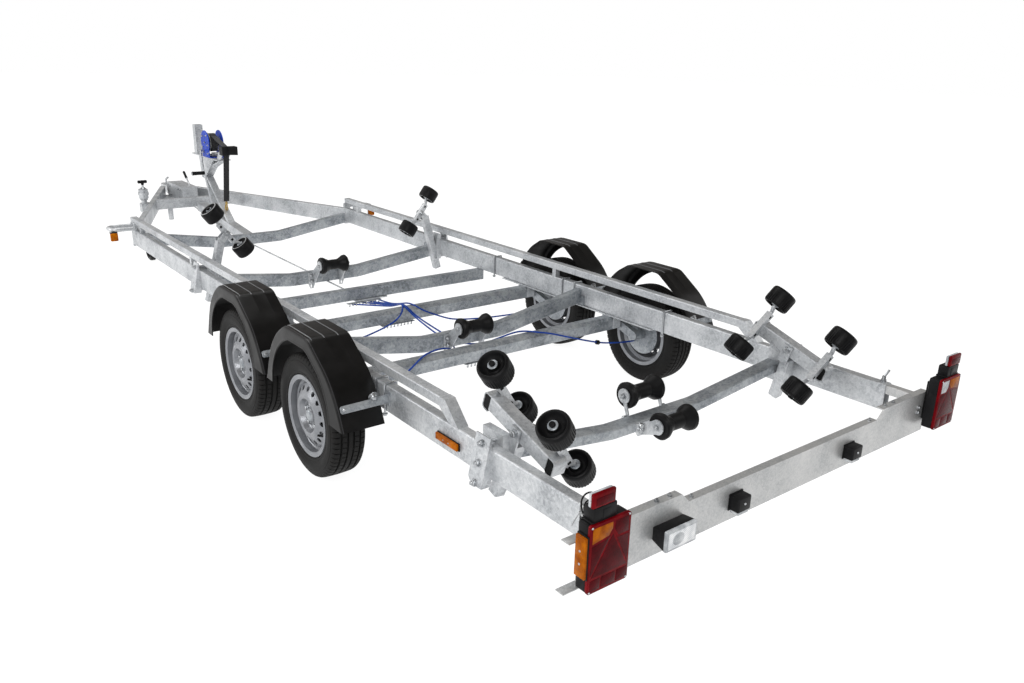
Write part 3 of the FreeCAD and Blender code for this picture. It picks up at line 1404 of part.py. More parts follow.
# Brake rod along the middle to the equaliser, and the brake cables
eq_top = rail_bottom - axle_cross_height
eq_rear_y = axle_cross_y - 34
rod_front_z = housing_bottom - coupling_plate_thickness - rod_drop
rod_middle_z = front_cross_flat_top - cross_height - rod_radius - rod_clearance
rod_rear_z = keel_front_flat_top - cross_height - rod_radius - rod_clearance
brake_rod = swept_rod([(rod_x, housing_rear_y + 30, rod_front_z),
                       (rod_x, front_cross_front_y, rod_middle_z),
                       (rod_x, keel_front_y, rod_rear_z),
                       (rod_x, axle_cross_y, rod_rear_z)], rod_bend, rod_radius)
hanger = box(rod_x - 8, rod_x + 8, housing_rear_y + 20, housing_rear_y + 40,
             rod_front_z - 10, housing_bottom - coupling_plate_thickness)
eq = box(-eq_half_width, eq_half_width, eq_rear_y, axle_cross_y + 30,
         eq_top - eq_thickness, eq_top)
drop = box(rod_x - 14, rod_x + 14, axle_cross_y - 20, axle_cross_y + 20,
           rod_rear_z - 10, eq_top - 1)
parts["brake_rod"] = fuse([brake_rod, hanger, eq, drop])

cable_z = eq_top - eq_thickness / 2
cable_solids = []
for side, wheel_y, lane in ((1, front_axle_y, 60), (-1, front_axle_y, -60),
                            (1, 0.0, 22), (-1, 0.0, -22)):
    path = [(lane, eq_rear_y, cable_z),
            (lane, eq_rear_y - 116, cable_z),
            (side * 400, wheel_y + axle_lead + 150, axle_low - 30),
            (side * (rail_inner_x - 90), wheel_y + axle_lead + 60, axle_low - 34),
            (side * (backplate_x - 60), wheel_y + 60, tyre_radius - 62),
            (side * backplate_x, wheel_y + 60, tyre_radius - 62)]
    cable_solids.append(swept_rod(path, cable_bend, cable_radius))
parts["brake_cables"] = Part.makeCompound(cable_solids)

# The middle of the length moves to Y 0, and each node is written
rear_end = board_y - lamp_depth
front_end = ball_y + head_half_width
shift = -(rear_end + front_end) / 2
os.makedirs("parts", exist_ok=True)
for name in sorted(parts):
    shape = parts[name]
    shape.translate(vec(0, shift, 0))
    shape.exportStep("parts/%s.step" % name)
    b = shape.BoundBox
    print("%-26s %d solids  x %.0f %.0f  y %.0f %.0f  z %.0f %.0f" % (
        name, len(shape.Solids), b.XMin, b.XMax, b.YMin, b.YMax, b.ZMin, b.ZMax))
print("shift", shift, "nodes", len(parts))
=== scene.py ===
from math import copysign, cos, pi, radians, sin, sqrt, tan

import bpy
import bmesh
from mathutils import Matrix, Vector


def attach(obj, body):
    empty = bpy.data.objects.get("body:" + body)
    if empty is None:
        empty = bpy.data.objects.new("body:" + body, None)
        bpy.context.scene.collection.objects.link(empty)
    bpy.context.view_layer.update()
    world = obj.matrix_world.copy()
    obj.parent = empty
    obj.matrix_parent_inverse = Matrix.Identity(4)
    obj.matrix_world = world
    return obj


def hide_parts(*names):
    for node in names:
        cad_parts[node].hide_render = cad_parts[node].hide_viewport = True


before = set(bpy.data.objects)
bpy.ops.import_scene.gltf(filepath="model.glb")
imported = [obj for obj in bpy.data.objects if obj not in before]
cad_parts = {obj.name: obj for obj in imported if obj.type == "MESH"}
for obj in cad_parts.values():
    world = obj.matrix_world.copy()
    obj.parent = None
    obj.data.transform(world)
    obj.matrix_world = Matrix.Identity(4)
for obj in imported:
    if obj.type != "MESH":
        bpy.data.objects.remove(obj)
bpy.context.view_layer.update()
scene = bpy.context.scene

# Y counts from the rear axle in the trailer's drawing, and the frame's Y 0 is the
# middle of the length. Pieces are drawn on the right and mirrored to the left.
FRAME_SHIFT = -2106.0
MM = 0.001
SIDES = (("left", -1), ("right", 1))


def at(x, y, z):
    """A point of the trailer's drawing, in mm, as metres in the frame."""
    return Vector((x, y + FRAME_SHIFT, z)) * MM


def placed(name, data):
    """A new object in the scene."""
    thing = bpy.data.objects.new(name, data)
    scene.collection.objects.link(thing)
    return thing


# Camera: the photograph's place, turn and lens
CAMERA_PLACE = (-2633.4, -3391.6, 1899.9)
CAMERA_YAW = 0.6653
CAMERA_PITCH = 0.3273
CAMERA_ROLL = 0.0259
FOCAL_PX = 843.35
PHOTO_WIDTH_PX = 1024.0
SENSOR_MM = 36.0


def place_camera():
    forward = Vector((sin(CAMERA_YAW) * cos(CAMERA_PITCH), cos(CAMERA_YAW) * cos(CAMERA_PITCH),
                      -sin(CAMERA_PITCH)))
    level = Vector((cos(CAMERA_YAW), -sin(CAMERA_YAW), 0.0))
    upright = level.cross(forward)
    right = level * cos(CAMERA_ROLL) + upright * sin(CAMERA_ROLL)
    up = upright * cos(CAMERA_ROLL) - level * sin(CAMERA_ROLL)
    data = bpy.data.cameras.new("photo_camera")
    data.sensor_width = SENSOR_MM
    data.lens = FOCAL_PX / PHOTO_WIDTH_PX * SENSOR_MM
    data.clip_end = 200.0
    scene.camera = placed("photo_camera", data)
    turn = Matrix((right, up, -forward)).transposed().to_4x4()
    scene.camera.matrix_world = Matrix.Translation(at(*CAMERA_PLACE)) @ turn


place_camera()


# Materials
MATH = "ShaderNodeMath"
NOISE = "ShaderNodeTexNoise"
VORONOI = "ShaderNodeTexVoronoi"
WAVE = "ShaderNodeTexWave"
RAMP = "ShaderNodeValToRGB"
BUMP = "ShaderNodeBump"


def srgb(code):
    """Linear colour of an sRGB hex value."""
    parts = [int(code[i:i + 2], 16) / 255.0 for i in (1, 3, 5)]
    return [c / 12.92 if c <= 0.04045 else ((c + 0.055) / 1.055) ** 2.4 for c in parts] + [1.0]


def add(tree, kind, links=(), stops=(), **settings):
    """A new node of a kind, or one that is there, with its settings. Links holds its
    inputs as nodes, sockets or values, and stops a ramp's (position, colour) points,
    where a colour is a hex value or a grey level."""
    node = tree.nodes.new(kind) if isinstance(kind, str) else kind
    for key, value in settings.items():
        setattr(node, key, value)
    for key, value in dict(links).items():
        if isinstance(value, bpy.types.Node):
            value = value.outputs[0]
        if isinstance(value, bpy.types.NodeSocket):
            tree.links.new(value, node.inputs[key])
        else:
            node.inputs[key].default_value = value
    points = node.color_ramp.elements if stops else ()
    while len(points) < len(stops):
        points.new(0.5)
    for point, (position, tone) in zip(points, stops):
        point.position = position
        point.color = srgb(tone) if isinstance(tone, str) else (tone, tone, tone, 1.0)
    return node


def finish_for(name, slot):
    """An empty material as (material, tree, shader, place on the object)."""
    material = bpy.data.materials.new(name)
    material.use_nodes = True
    material["slot"] = slot
    tree = material.node_tree
    place = add(tree, "ShaderNodeTexCoord").outputs["Object"]
    return material, tree, tree.nodes["Principled BSDF"], place


def galvanised(name, light, middle, dark, spangle_mm, metallic=0.6, rough=0.42,
               slot="galvanised_steel"):
    """Hot-dip galvanised steel: zinc crystals of several mm, each a little lighter or
    darker, under cloudy drifts of 140 mm where the zinc cooled, with a skin of 4.5 mm."""
    material, tree, shader, place = finish_for(name, slot)
    crystals = add(tree, VORONOI, {"Vector": place, "Scale": 1000 / spangle_mm})
    fine = add(tree, VORONOI, {"Vector": place, "Scale": 2600 / spangle_mm})
    clouds = add(tree, NOISE, {"Vector": place, "Scale": 7.0, "Detail": 4.0})
    flake = add(tree, "ShaderNodeSeparateColor", {0: crystals.outputs["Color"]})
    grit = add(tree, "ShaderNodeSeparateColor", {0: fine.outputs["Color"]})
    tone = add(tree, MATH, {0: flake, 1: 0.16}, operation="MULTIPLY")
    tone = add(tree, MATH, {0: grit, 1: 0.1, 2: tone}, operation="MULTIPLY_ADD")
    tone = add(tree, MATH, {0: clouds, 1: 0.62, 2: tone}, operation="MULTIPLY_ADD")
    skin = add(tree, NOISE, {"Vector": place, "Scale": 220.0, "Detail": 3.0})
    bump = add(tree, BUMP, {"Strength": 0.12, "Distance": 0.0005, "Height": skin})
    add(tree, shader, {
        "Base Color": add(tree, RAMP, {0: tone}, [(0.26, dark), (0.42, middle), (0.6, light)]),
        "Roughness": add(tree, RAMP, {0: tone}, [(0.25, rough + 0.08), (0.62, rough - 0.06)]),
        "Metallic": metallic, "Normal": bump})
    return material


def moulded(name, slot, colour, worn, rough, grain_mm, depth_mm, metallic=0.0, specular=0.5):
    """Moulded rubber or plastic, or paint: one colour that drifts towards a worn tone
    over 70 mm, with a fine grain of the given size."""
    material, tree, shader, place = finish_for(name, slot)
    drift = add(tree, NOISE, {"Vector": place, "Scale": 14.0, "Detail": 6.0,
                              "Roughness": 0.62})
    grain = add(tree, NOISE, {"Vector": place, "Scale": 1000 / grain_mm})
    add(tree, shader, {
        "Base Color": add(tree, RAMP, {0: drift}, [(0.38, colour), (0.78, worn)]),
        "Roughness": add(tree, RAMP, {0: drift}, [(0.3, rough - 0.05), (0.75, rough + 0.09)]),
        "Metallic": metallic, "Specular IOR Level": specular,
        "Normal": add(tree, BUMP, {"Strength": 0.35, "Distance": depth_mm * MM,
                                   "Height": grain})})
    return material


def lens(name, slot, deep, bright, pitch_mm):
    """Moulded acrylic lamp lens: small prisms in rows show through a glossy face, so
    the colour goes from deep to bright over each prism, in patches of 40 mm."""
    material, tree, shader, place = finish_for(name, slot)
    split = add(tree, "ShaderNodeSeparateXYZ", {0: place})
    rows = []
    for axis in (0, 2):
        angle = add(tree, MATH, {0: split.outputs[axis], 1: 2 * pi * 1000 / pitch_mm},
                    operation="MULTIPLY")
        rows.append(add(tree, MATH, {0: angle}, operation="SINE"))
    prism = add(tree, MATH, {0: rows[0], 1: rows[1]}, operation="MULTIPLY")
    patch = add(tree, NOISE, {"Vector": place, "Scale": 26.0})
    tone = add(tree, MATH, {0: prism, 1: 0.22, 2: patch}, operation="MULTIPLY_ADD")
    add(tree, shader, {
        "Base Color": add(tree, RAMP, {0: tone}, [(0.3, deep), (0.8, bright)]),
        "Roughness": 0.2, "IOR": 1.49, "Specular IOR Level": 0.06,
        "Normal": add(tree, BUMP, {"Strength": 0.12, "Distance": 0.0006, "Height": prism})})
    return material


def webbing():
    """Woven polyester strap: a twill of 2.6 mm picks over 1.7 mm warps, dull and black,
    a little coarser than the real one so that it shows."""
    material, tree, shader, place = finish_for("black_polyester_webbing", "winch_webbing")
    warp = add(tree, WAVE, {"Vector": place, "Scale": 180.0, "Distortion": 0.6},
               bands_direction="X")
    pick = add(tree, WAVE, {"Vector": place, "Scale": 120.0, "Distortion": 0.8},
               bands_direction="Z")
    weave = add(tree, MATH, {0: warp.outputs["Fac"], 1: pick.outputs["Fac"]},
                operation="MULTIPLY")
    add(tree, shader, {
        "Base Color": add(tree, RAMP, {0: weave}, [(0.1, "#0E0E0F"), (0.9, "#2B2B2D")]),
        "Roughness": 0.8, "Sheen Weight": 0.15,
        "Normal": add(tree, BUMP, {"Strength": 0.6, "Distance": 0.0008, "Height": weave})})
    return material


# Dipped tube of the frame: pale, with crystals of 11 mm
FRAME_STEEL = galvanised("hot_dip_galvanised_tube", "#CFD1D3", "#B9BCBF", "#989B9F", 11.0)
# Thin dipped sheet: it cools fast, so its crystals are small and even
SHEET_STEEL = galvanised("galvanised_sheet", "#C8C8C7", "#BBBCBC", "#A8AAAB", 7.0, 0.6, 0.4)
# Thick axle steel: it cools slowly, so its zinc is darker, duller and coarser
AXLE_STEEL = galvanised("galvanised_axle_steel", "#AEB2B5", "#90959A", "#6B7075", 14.0,
                        0.6, 0.44)
# Plated bolts: thin bright zinc with clear reflections
ZINC_STEEL = galvanised("bright_zinc_fastener", "#C4C6C8", "#A6A9AC", "#7D8083", 5.0,
                        0.9, 0.3, "zinc_steel")
# Passivated plating: the same with a straw tint
YELLOW_ZINC = moulded("yellow_passivated_zinc", "zinc_steel", "#B79B5C", "#8E6F36",
                      0.32, 1.2, 0.05, 0.9)
# Sprayed wheel enamel: fine metal flake in grey, half gloss
WHEEL_SILVER = moulded("silver_wheel_enamel", "silver_paint", "#8E9094", "#7A7D82",
                       0.36, 0.9, 0.04, 0.6)
# Vulcanised tyre rubber: matt, with a trace of brown dust
TYRE_RUBBER = moulded("road_tyre_rubber", "tyre_rubber", "#111111", "#1D1C1B",
                      0.62, 0.8, 0.12, specular=0.16)
# Roller rubber from a smooth mould: black with a low sheen
ROLLER_RUBBER = moulded("black_roller_rubber", "roller_rubber", "#0F0F10", "#1B1B1C",
                        0.4, 0.7, 0.06, specular=0.12)
# Blow-moulded polypropylene: deep black with a soft shine
GUARD_PLASTIC = moulded("black_mudguard_polypropylene", "black_plastic", "#0A0A0A",
                        "#121111", 0.36, 1.0, 0.05, specular=0.2)
# Ridges of the mudguards: a pale painted highlight along the top panel's ridges
GUARD_RIDGE_HIGHLIGHT = moulded("mudguard_ridge_painted_highlight", "black_plastic", "#68696C", "#555658",
                      0.3, 1.0, 0.02, specular=0.3)
# Rolled edge of the mudguards: a dark grey painted highlight along the bead
GUARD_EDGE_HIGHLIGHT = moulded("mudguard_edge_painted_highlight", "black_plastic", "#343436", "#2A2A2C",
                     0.3, 1.0, 0.02, specular=0.3)
# Injection-moulded nylon of grips and caps: fine grained black
BLACK_PLASTIC = moulded("black_moulded_nylon", "black_plastic", "#101011", "#1C1C1E",
                        0.45, 0.8, 0.05, specular=0.12)
# Injection-moulded ABS of lamps: smoother, a little paler
LAMP_HOUSING = moulded("black_lamp_housing_abs", "black_plastic", "#131314", "#1E1E20",
                       0.4, 0.8, 0.04, specular=0.12)
# Soft gaiter rubber: matt, with a deeper grain
GAITER_RUBBER = moulded("black_gaiter_rubber", "black_plastic", "#111111", "#1D1C1C",
                        0.6, 0.8, 0.08, specular=0.15)
# Stoved enamel on the winch: strong blue, faint orange peel of 1.6 mm
WINCH_BLUE = moulded("blue_winch_enamel", "blue_paint", "#0C3CAE", "#082E92",
                     0.34, 1.6, 0.06, specular=0.12)
# Extruded cable sheath: smooth blue
CABLE_BLUE = moulded("blue_cable_sheath", "blue_plastic", "#173F94", "#102E70",
                     0.42, 0.8, 0.03, specular=0.2)
# Undyed nylon of ties and wear rings: pale grey
GREY_NYLON = moulded("pale_grey_nylon", "roller_rubber", "#9B9C9D", "#7E7F80", 0.45, 0.8, 0.03)
# Acrylic lenses: colour deepens where the prisms are thick
CELL_LENS = lens("dark_red_reflex_lens", "red_lens", "#3A0308", "#590610", 3.0)
MIRROR_LENS = lens("silvered_reflector_lens", "amber_lens", "#C2C6CA", "#FFFFFF", 7.0)
RED_LENS = lens("red_acrylic_lens", "red_lens", "#4E0309", "#7E0812", 4.0)
AMBER_LENS = lens("amber_acrylic_lens", "amber_lens", "#7A3602", "#BC6A06", 4.0)
CLEAR_LENS = lens("clear_acrylic_lens", "amber_lens", "#8E9296", "#E2E4E6", 3.0)
# Woven polyester strap
WEBBING = webbing()

SLOT_FINISH = {"galvanised_steel": FRAME_STEEL, "black_plastic": BLACK_PLASTIC,
               "roller_rubber": ROLLER_RUBBER, "silver_paint": WHEEL_SILVER,
               "tyre_rubber": TYRE_RUBBER, "blue_paint": WINCH_BLUE,
               "winch_webbing": WEBBING, "zinc_steel": ZINC_STEEL, "red_lens": RED_LENS,
               "amber_lens": AMBER_LENS, "blue_plastic": CABLE_BLUE}
NODE_FINISH = {name: AXLE_STEEL for name in (
    "axle_front", "axle_rear", "crossmember_front", "crossmember_keel_front",
    "crossmember_keel_middle", "crossmember_keel_rear", "crossmember_axle")}
NODE_FINISH.update(light_board=SHEET_STEEL, coupling_gaiter=GAITER_RUBBER,
                   strap_hook=YELLOW_ZINC, board_lamps=LAMP_HOUSING)


def dress_cad():
    """Every CAD node gets the finish of its slot, or its own."""
    for name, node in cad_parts.items():
        used = node.data.materials
        slot = used[0].name.split(".")[0] if used and used[0] else ""
        used.clear()
        used.append(NODE_FINISH.get(name) or SLOT_FINISH.get(slot, FRAME_STEEL))


dress_cad()


# Mesh helpers: every form is built in mm in the trailer's drawing
TO_FRAME = Matrix.Scale(MM, 4) @ Matrix.Translation((0, FRAME_SHIFT, 0))


def moved(x, y, z):
    return Matrix.Translation((x, y, z))


def tilted(degrees, axis):
    return Matrix.Rotation(radians(degrees), 4, axis)


def flipped(side):
    """Mirror across the middle plane for the left-hand side."""
    return Matrix.Diagonal((side, 1, 1, 1))


def aimed(point, direction):
    """Place whose local X axis points along a direction."""
    turn = Vector(direction).to_track_quat("X", "Z").to_matrix().to_4x4()
    return Matrix.Translation(point) @ turn


def arc(cx, cy, radius, start, step, count=5):
    """Points round a centre, by degrees."""
    turns = [radians(start + k * step) for k in range(count)]
    return [(cx + radius * cos(a), cy + radius * sin(a)) for a in turns]


def join(form, part, place=Matrix(), finish=0):
    """Add a closed part to a form at its place, its faces outwards, with one of the
    form's finishes; None keeps the faces' own."""
    if finish is not None:
        for face in part.faces:
            face.material_index = finish
    part.transform(place)
    bmesh.ops.remove_doubles(part, verts=part.verts, dist=0.001)
    bmesh.ops.recalc_face_normals(part, faces=part.faces)
    if part.calc_volume(signed=True) < 0:
        bmesh.ops.reverse_faces(part, faces=part.faces)
    mesh = bpy.data.meshes.new("part")
    part.to_mesh(mesh)
    part.free()
    form.from_mesh(mesh)
    bpy.data.meshes.remove(mesh)


def skin(form, rows, closed=False):
    """Quads between rows of points, each row closed on itself; the end rows are filled
    unless the rows close up too. Returns the quads, row by row."""
    rings = [[form.verts.new(point) for point in row] for row in rows]
    if closed:
        rings.append(rings[0])
    else:
        form.faces.new(rings[0])
        form.faces.new(rings[-1])
    quads = []
    for near, far in zip(rings, rings[1:]):
        for j in range(len(near)):
            k = (j + 1) % len(near)
            quads.append(form.faces.new((near[j], near[k], far[k], far[j])))
    return quads


def solid(form, rows, place=Matrix(), edge=0.0, finish=0, segments=2):
    """Solid skinned over rows of points, its edges rounded."""
    part = bmesh.new()
    skin(part, rows)
    if edge:
        bmesh.ops.bevel(part, geom=part.edges[:], offset=edge, segments=segments,
                        profile=0.5, affect="EDGES", clamp_overlap=True)
    join(form, part, place, finish)


def slab(form, outline, depth, place=Matrix(), *look):
    """Flat outline in local XY, thickened along local Z; look is the edge's radius, the
    finish and the edge's segments."""
    solid(form, [[(x, y, z) for x, y in outline] for z in (0, depth)], place, *look)


def blocks(form, place, *rows):
    """Moulded or folded blocks, each a row of its low and high corner and its look."""
    for x0, y0, z0, x1, y1, z1, *look in rows:
        slab(form, [(x0, y0), (x1, y0), (x1, y1), (x0, y1)], z1 - z0,
             place @ moved(0, 0, z0), *look)


def closed_ring(form, rows, place=Matrix(), finish=0):
    """Solid skinned over rows of points that close into a ring."""
    part = bmesh.new()
    skin(part, rows, True)
    join(form, part, place, finish)


def spin(form, profile, place=Matrix(), steps=48, finish=0):
    """Closed profile of (along, radius) points turned around the local X axis."""
    turns = [2 * pi * i / steps for i in range(steps)]
    closed_ring(form, [[(x, r * cos(a), r * sin(a)) for x, r in profile] for a in turns],
                place, finish)


def plain_mesh(holder):
    """Mesh of an object as it is evaluated; the object goes."""
    ready = holder.evaluated_get(bpy.context.evaluated_depsgraph_get())
    mesh = bpy.data.meshes.new_from_object(ready)
    bpy.data.objects.remove(holder)
    return mesh


def wire(form, points, radius, finish=0, loop=False):
    """Round rod or cable along a smooth spline through its control points."""
    curve = bpy.data.curves.new("wire", "CURVE")
    curve.dimensions = "3D"
    curve.bevel_depth = radius
    curve.bevel_resolution = 3
    curve.use_fill_caps = True
    spline = curve.splines.new("NURBS")
    spline.points.add(len(points) - 1)
    for target, point in zip(spline.points, points):
        target.co = (*point, 1.0)
    spline.order_u = 3
    spline.use_endpoint_u = not loop
    spline.use_cyclic_u = loop
    spline.resolution_u = 8
    mesh = plain_mesh(placed("wire", curve))
    part = bmesh.new()
    part.from_mesh(mesh)
    bpy.data.meshes.remove(mesh)
    bpy.data.curves.remove(curve)
    join(form, part, finish=finish)


def keep_piece(mesh, name, body, sharp, replaces=()):
    """Named piece of the part that rides on its body."""
    mesh.name = name
    mesh.shade_smooth()
    mesh.set_sharp_from_angle(angle=radians(sharp))
    piece = placed(name, mesh)
    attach(piece, body)
    if replaces:
        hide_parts(*replaces)


def settle(form, name, body, finishes, sharp=35.0, replaces=()):
    """Turn a form into a named piece, in metres."""
    form.transform(TO_FRAME)
    mesh = bpy.data.meshes.new(name)
    form.to_mesh(mesh)
    form.free()
    for finish in finishes:
        mesh.materials.append(finish)
    keep_piece(mesh, name, body, sharp, replaces)


# Fasteners: one modelled head or nut is set on many spots by geometry nodes
def fastener_tree():
    tree = bpy.data.node_groups.new("set_fasteners", "GeometryNodeTree")
    for label, kind in (("Spots", "Geometry"), ("Fastener", "Object"), ("Finish", "Material")):
        tree.interface.new_socket(label, in_out="INPUT", socket_type="NodeSocket" + kind)
    tree.interface.new_socket("Fasteners", in_out="OUTPUT", socket_type="NodeSocketGeometry")
    given = add(tree, "NodeGroupInput").outputs
    aim = add(tree, "GeometryNodeInputNamedAttribute", {"Name": "aim"},
              data_type="FLOAT_VECTOR").outputs["Attribute"]
    turn = add(tree, "FunctionNodeAlignRotationToVector", {"Vector": aim}, axis="X")
    item = add(tree, "GeometryNodeObjectInfo", {"Object": given["Fastener"]})
    spread = add(tree, "GeometryNodeInstanceOnPoints", {
        "Points": given["Spots"], "Instance": item.outputs["Geometry"], "Rotation": turn})
    real = add(tree, "GeometryNodeRealizeInstances", {0: spread})
    add(tree, "NodeGroupOutput", {0: add(tree, "GeometryNodeSetMaterial", {
        "Geometry": real, "Material": given["Finish"]})})
    return tree


SET_FASTENERS = fastener_tree()


def set_items(name, body, item, spots):
    """Set one zinc form on spots of (point, direction) in the drawing, as one piece."""
    item.transform(Matrix.Scale(MM, 4))
    model = bpy.data.meshes.new(name + "_item")
    item.to_mesh(model)
    item.free()
    source = placed(name + "_item", model)
    mesh = bpy.data.meshes.new(name + "_spots")
    mesh.from_pydata([at(*point) for point, aim in spots], [], [])
    aims = mesh.attributes.new("aim", "FLOAT_VECTOR", "POINT")
    for value, (point, aim) in zip(aims.data, spots):
        value.vector = Vector(aim).normalized()
    holder = placed(name + "_spots", mesh)
    modifier = holder.modifiers.new("set", "NODES")
    modifier.node_group = SET_FASTENERS
    sockets = {s.name: s.identifier for s in SET_FASTENERS.interface.items_tree
               if s.item_type == "SOCKET" and s.in_out == "INPUT"}
    modifier[sockets["Fastener"]] = source
    modifier[sockets["Finish"]] = ZINC_STEEL
    bpy.context.view_layer.update()
    made = plain_mesh(holder)
    bpy.data.objects.remove(source)
    keep_piece(made, name, body, 30.0)


def bolt_head(across, thread=0.0):
    """Hexagon head or nut on its washer; local X points out of the joint."""
    item = bmesh.new()
    washer = across * 0.13
    spin(item, [(0, 0), (0, across * 0.72), (across * 0.1, across * 0.72),
                (washer, across * 0.68), (washer, 0)], Matrix(), 28)
    corners = arc(0, 0, across / sqrt(3), 0, 60, 6)
    rows = ((washer, 1), (washer + across * 0.41, 1), (washer + across * 0.5, 0.86))
    solid(item, [[(x, y * k, z * k) for y, z in corners] for x, k in rows], Matrix(),
          across * 0.03)
    if thread:
        turns = 5
        base = washer + across * 0.5
        r = across * 0.32
        ribs = [(base, 0)]
        for i in range(turns):
            ribs += [(base + i * thread / turns, r * 0.9),
                     (base + (i + 0.5) * thread / turns, r)]
        spin(item, ribs + [(base + thread, r * 0.85), (base + thread, 0)], Matrix(), 16)
    return item


def screw_head(radius):
    """Domed cross-slot screw; local X points out."""
    item = bmesh.new()
    spin(item, [(0, 0), (0, radius), (radius * 0.35, radius * 0.86),
                (radius * 0.6, radius * 0.5), (radius * 0.62, radius * 0.2),
                (radius * 0.35, radius * 0.1), (radius * 0.35, 0)], Matrix(), 20)
    return item


def dome_nut(radius):
    """High domed nut on a washer; local X points out."""
    item = bmesh.new()
    dome = [(-8, 0), (-8, radius * 0.5), (0, radius * 0.5), (0, radius), (2, radius),
            (3, radius * 0.86)]
    for k in range(6):
        a = radians(15 * k)
        dome.append((5 + radius * 0.8 * sin(a), radius * 0.82 * cos(a)))
    spin(item, dome + [(5 + radius * 0.8, 0)], Matrix(), 28)
    return item


# Road tyres: 185/65 section with four grooves, cut shoulders and rim guard
AXLE_HEIGHT = 298.0
WHEEL_X = 1094.0
AXLE_SPACING = 840.0
TREAD_PITCHES = 66
SIPE_DEPTH = 5.5
RIB_SLANT = 0.0175
WHEELS = [(row + label, side, y) for label, side in SIDES
          for row, y in (("front_", AXLE_SPACING), ("rear_", 0.0))]
# Rows of (across, radius, cut) from the outer bead to the middle of the tread; cut says
# which sipes reach the row: 1 the shoulders, 2 the ribs between grooves
TYRE_HALF = [(66, 181, 0), (68, 193, 0), (73.5, 201, 0), (77, 205, 0), (78.5, 210, 0),
             (77.5, 214, 0), (80.5, 222, 0), (84.5, 234, 0), (85.6, 245, 0), (85, 254, 0),
             (83.9, 260, 0), (84.3, 262, 0), (83, 265, 0), (82, 266, 0), (80.5, 275, 0),
             (77, 284, 1), (72.5, 290.5, 1), (66, 294.2, 1), (57.5, 295.8, 1),
             (50.5, 296.4, 0), (48.5, 289, 0), (42.5, 289, 0), (40.5, 297, 0), (38, 297.1, 2),
             (21.5, 297.7, 2), (19, 297.7, 0), (17, 290, 0), (11, 290, 0), (9, 298, 0)]
# Cuts over one pitch of the tread: share of the pitch, shoulder sipe, rib sipe
TREAD_CUTS = ((0.0, 0, 0), (0.05, 1, 0), (0.15, 1, 0), (0.2, 0, 0), (0.45, 0, 0),
              (0.49, 0, 1), (0.56, 0, 1), (0.6, 0, 0), (0.8, 0, 0))


def make_tyre(key, side, wheel_y):
    section = TYRE_HALF + [(-a, r, cut) for a, r, cut in TYRE_HALF[::-1]]
    rows = []
    for pitch in range(TREAD_PITCHES):
        for share, shoulder, rib in TREAD_CUTS:
            a = 2 * pi * (pitch + share) / TREAD_PITCHES
            row = []
            for across, radius, cut in section:
                swing = a + (RIB_SLANT * (across - 30) / 30 if cut == 2 else 0.0)
                r = radius - SIPE_DEPTH * (0, shoulder, 0.6 * rib)[cut]
                row.append((side * WHEEL_X + across, wheel_y + r * cos(swing),
                            AXLE_HEIGHT + r * sin(swing)))
            rows.append(row)
    form = bmesh.new()
    closed_ring(form, rows)
    settle(form, "road_tyre_" + key, "wheel_" + key, [TYRE_RUBBER], 32, ["tyre_" + key])


for wheel in WHEELS:
    make_tyre(*wheel)

# Wheel studs, hub caps, rolled lips and valves on the silver rims
STUD_CIRCLE = 56.0
BOWL_FLOOR_X = 1139.0
HUB_CAP_X = 1147.0
HUB_CAP = [(-10, 0), (-10, 35), (-5, 36), (-2, 34.8), (0, 31), (8, 29), (12, 25),
           (13.5, 18), (12.8, 14), (13.4, 10), (13.6, 0)]
RIM_LIP = [(70, 173.6), (73.2, 173.6), (74.4, 176.5), (72.8, 180), (73, 184.5), (75.6, 188),
           (77.4, 191.5), (77.2, 194.6), (75.2, 196.6), (70, 196.8)]
VALVE = [(-4, 0), (-4, 8), (4, 7.5), (10, 5), (26, 4.5), (27, 5.2), (38, 5.2), (39, 3),
         (39, 0)]
VALVE_ANGLE = 200
VALVE_CIRCLE = 160


def make_wheel_trim(key, side, wheel_y):
    out = (side, 0, 0)
    spots = [((side * BOWL_FLOOR_X, y, z), out)
             for y, z in arc(wheel_y, AXLE_HEIGHT, STUD_CIRCLE, 90, 72)]
    set_items("wheel_studs_" + key, "wheel_" + key, bolt_head(19.0), spots)
    form = bmesh.new()
    spin(form, HUB_CAP, aimed((side * HUB_CAP_X, wheel_y, AXLE_HEIGHT), out), 40)
    spin(form, RIM_LIP, aimed((side * WHEEL_X, wheel_y, AXLE_HEIGHT), out), 120, 2)
    c, s = cos(radians(VALVE_ANGLE)), sin(radians(VALVE_ANGLE))
    foot = (side * (WHEEL_X + 52), wheel_y + VALVE_CIRCLE * c, AXLE_HEIGHT + VALVE_CIRCLE * s)
    spin(form, VALVE, aimed(foot, (side * 0.8, -0.6 * c, -0.6 * s)), 20, 1)
    settle(form, "hub_cap_" + key, "wheel_" + key, [AXLE_STEEL, BLACK_PLASTIC, WHEEL_SILVER])


for wheel in WHEELS:
    make_wheel_trim(*wheel)

# Mudguards: blow-moulded shells with a raised top panel and a rolled edge
GUARD_INNER_X = 1000.0
GUARD_OUTER_X = 1206.0
GUARD_LENGTH = 808.0
GUARD_SHIFT = -34.0
GUARD_LOW = 380.0
GUARD_HIGH = 714.0
OPENING_RADIUS = 300.0
OPENING_CENTRE = Vector((-10.0, 365.0))
# The arch's corners, as shares of length and height, and their bends' reach in mm
GUARD_ARCH = ((-0.5, 0.0), (-0.438, 0.33), (-0.342, 0.63), (-0.113, 1.0), (0.188, 1.0),
              (0.303, 0.83), (0.392, 0.605), (0.44, 0.383), (0.5, 0.0))
GUARD_BENDS = (0, 60, 60, 26, 26, 40, 40, 60, 0)
# Rows of the section that carry painted highlights: the top panel's ridges and the rolled edge
HIGHLIGHT_RIDGE_ROWS = (2, 3, 4, 6, 7, 8, 10)
HIGHLIGHT_EDGE_ROW = 12


